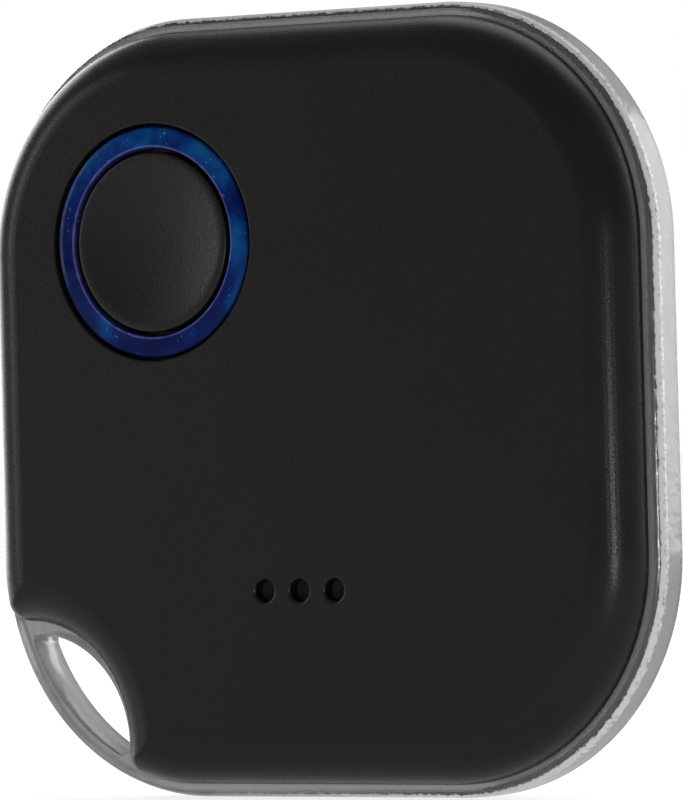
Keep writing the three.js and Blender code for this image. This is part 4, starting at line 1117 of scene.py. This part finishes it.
def board_eyelets():
    """Plated through holes, scattered where the board is free, each with a rim on one face."""
    draw = random.Random(11)
    taken = [local_box(name) for name in BOARD_PARTS]
    places = []
    while len(places) < EYELETS:
        x, y = (draw.uniform(-BOARD_HALF + 0.8, BOARD_HALF - 0.8) for _ in range(2))
        if square_inset(x, y) < BOARD_INSET + REVEAL + 0.6:
            continue
        if math.hypot(x - CELL[0], y - CELL[1]) < POCKET_OUTSIDE + 0.8:
            continue
        if math.hypot(x - NOTCH[0], y - NOTCH[1]) < NOTCH_RADIUS + BOARD_INSET + 0.6:
            continue
        if any(a[0] - 0.4 < x < a[1] + 0.4 and b[0] - 0.4 < y < b[1] + 0.4 for a, b, _ in taken):
            continue
        if any(math.hypot(x - px, y - py) < 0.6 for px, py in places):
            continue
        places.append((x, y))
    spots = []
    for x, y in places:
        width = draw.choice((0.4, 0.4, 0.55))
        spots.append(((x, y, BOARD_LEVELS[0]), (width, width, -0.5), 0))
    repeat("board_eyelets", unit_eyelet(), spots, GOLD, "housing", "gold_plate")


# ---- carried-over nodes
CARRIED = {
    "switch_base": PACKAGE, "switch_plunger": BUTTON_BLACK, "switch_shell": STEEL,
    "sound_mesh": FELT, "buzzer_glue_ring": FELT, "buzzer_plate": BRASS, "buzzer_ceramic": CERAMIC,
    "buzzer_lead_plate": GOLD, "buzzer_lead_ceramic": GOLD, "circuit_board": BOARD_GREEN,
    "chip_antenna": CERAMIC, "contact_positive": STEEL, "contact_negative": STEEL,
    "insulator_film": FILM, "cell_gasket": GASKET, "cell_cathode": CATHODE, "cell_anode": LITHIUM,
    **{f"led_{i}": LED_WHITE for i in range(1, 5)},
}


def switch_dome():
    """The snap dome: a thin domed disc."""
    x, y, z = local_box("switch_dome")
    centre, radius = (middle(x), middle(y)), (x[1] - x[0]) / 2
    rise = z[1] - z[0]
    thick = 0.06
    profile = []
    for i in range(17):
        share = i / 16
        height = z[0] + thick + (rise - thick) * math.sin(share * QUARTER)
        profile.append((radius * (0.98 - 0.98 * share), height))
    under = [(r, h - thick) for r, h in reversed(profile)]
    under[-1] = (radius * 0.98, z[0])
    mesh = turned("switch_dome_disc", centre, under + [(radius, z[0] + thick / 2)] + profile, STEEL, 64)
    made = piece("switch_dome_disc", mesh, STEEL, "housing", "steel", "switch_dome")
    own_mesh(made)


def dress_carried_nodes():
    for name, finish in CARRIED.items():
        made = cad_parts[name]
        made.data.materials.clear()
        made.data.materials.append(finish)


# ---- stage, light and camera
FACE_CENTRE = Vector((0, -BACK * MM, HALF * MM))
VIEW_AZIMUTH = 33.695
VIEW_ELEVATION = -0.243
VIEW_ROLL = math.radians(-1.535)
VIEW_DISTANCE = 0.32379
LENS = 320.6
AIM_RIGHT = 2.198 * MM
AIM_UP = 0.197 * MM
FLOOR_GLOW = 0.6
FLOOR_SHOWN = 0.78
FRONT_LEVEL = 0.33
SIDE_LEVEL = 0.34
BEHIND_LEVEL = 1.1
ABOVE_LEVEL = 0.35


def direction(azimuth, elevation):
    """Unit vector from the tag: azimuth 0 is straight in front, and it grows towards +X."""
    a, e = math.radians(azimuth), math.radians(elevation)
    return Vector((math.sin(a) * math.cos(e), -math.cos(a) * math.cos(e), math.sin(e)))


def make_camera():
    out = direction(VIEW_AZIMUTH, VIEW_ELEVATION)
    side = out.cross(Vector((0, 0, -1))).normalized()
    up = out.cross(side)
    right = math.cos(VIEW_ROLL) * side + math.sin(VIEW_ROLL) * up
    over = math.cos(VIEW_ROLL) * up - math.sin(VIEW_ROLL) * side
    place = FACE_CENTRE + out * VIEW_DISTANCE
    aim = FACE_CENTRE + right * AIM_RIGHT + over * AIM_UP
    back = (place - aim).normalized()
    x_axis = over.cross(back).normalized()
    y_axis = back.cross(x_axis)
    data = bpy.data.cameras.new("camera")
    data.lens = LENS
    data.sensor_width = 36
    data.clip_start, data.clip_end = 0.01, 20
    camera = link("camera", data)
    turn = Matrix((x_axis, y_axis, back)).transposed().to_4x4()
    camera.matrix_world = Matrix.Translation(place) @ turn
    bpy.context.scene.camera = camera


def softbox(name, azimuth, elevation, distance, width, height, radiance):
    data = bpy.data.lights.new(name, "AREA")
    data.shape = "RECTANGLE"
    data.size, data.size_y = width, height
    data.energy = radiance * math.pi * width * height
    made = link(name, data)
    made.visible_camera = False
    way = direction(azimuth, elevation)
    made.location = Vector((0, 0, HALF * MM)) + way * distance
    made.rotation_mode = "QUATERNION"
    made.rotation_quaternion = way.to_track_quat("Z", "Y")
    return made


def make_stage():
    floor = bpy.data.meshes.new("floor")
    work = bmesh.new()
    bmesh.ops.create_circle(work, cap_ends=True, segments=64, radius=4.0)
    work.to_mesh(floor)
    work.free()
    finish, tree = new_finish("paper_sweep")
    tooth = speckle(tree, 1.0, detail=2)
    rays = node(tree, "ShaderNodeLightPath").outputs["Is Camera Ray"]
    surface(tree, {
        "Base Color": colours(tree, tooth, (0.3, grey(0.36)), (0.7, grey(0.39))), "Roughness": 0.9,
        "Specular IOR Level": 0.1, "Emission Color": (1, 1, 1, 1),
        "Emission Strength": between(tree, rays, FLOOR_GLOW, FLOOR_SHOWN, 0.0, 1.0),
    }, bumps(tree, (tooth, 0.05, 0.05)))
    floor.materials.append(finish)
    link("floor", floor)


def make_world():
    """A pale studio: white behind the tag, dimmer at its sides, in front and high on the left."""
    world = bpy.data.worlds.new("studio")
    world.use_nodes = True
    tree = world.node_tree
    tree.nodes.clear()
    rays = node(tree, "ShaderNodeLightPath").outputs["Is Camera Ray"]
    way = node(tree, "ShaderNodeTexCoord").outputs["Generated"]
    parts = node(tree, "ShaderNodeSeparateXYZ", {"Vector": way}).outputs
    sides = between(tree, parts["X"], FRONT_LEVEL, SIDE_LEVEL, -0.2, 0.6)
    lit = between(tree, parts["Y"], 0.0, 1.0, 0.2, 0.75)
    above = between(tree, parts["X"], ABOVE_LEVEL, BEHIND_LEVEL, -0.35, 0.05)
    raised = between(tree, parts["Z"], 0.0, 1.0, 0.02, 0.3)
    behind = blend_values(tree, raised, BEHIND_LEVEL, above)
    level = blend_values(tree, lit, sides, behind)
    shown = blend_values(tree, rays, level, 1.0)
    light = node(tree, "ShaderNodeBackground", {"Color": (1, 1, 1, 1), "Strength": shown})
    node(tree, "ShaderNodeOutputWorld", {"Surface": light.outputs["Background"]})
    bpy.context.scene.world = world


def make_light():
    softbox("right_strip", 49, -9, 0.09, 0.0035, 0.022, 62.0)
    softbox("right_rear_box", 148, 5, 0.5, 0.30, 0.50, 3.2)
    softbox("top_rear_box", 190, 60, 0.5, 0.5, 0.3, 1.2)
    softbox("left_box", -116, 0, 0.5, 0.34, 0.60, 3.2)
    softbox("left_card", -55, 0, 0.5, 0.09, 0.40, 4.5)


front_cover()
rear_cover()
clear_frame()
inner_carrier()
light_ring()
button_cap()
cell()
switch_dome()
board_parts()
board_eyelets()
dress_carried_nodes()
make_stage()
make_world()
make_light()
make_camera()
bpy.context.scene.view_settings.view_transform = "Standard"
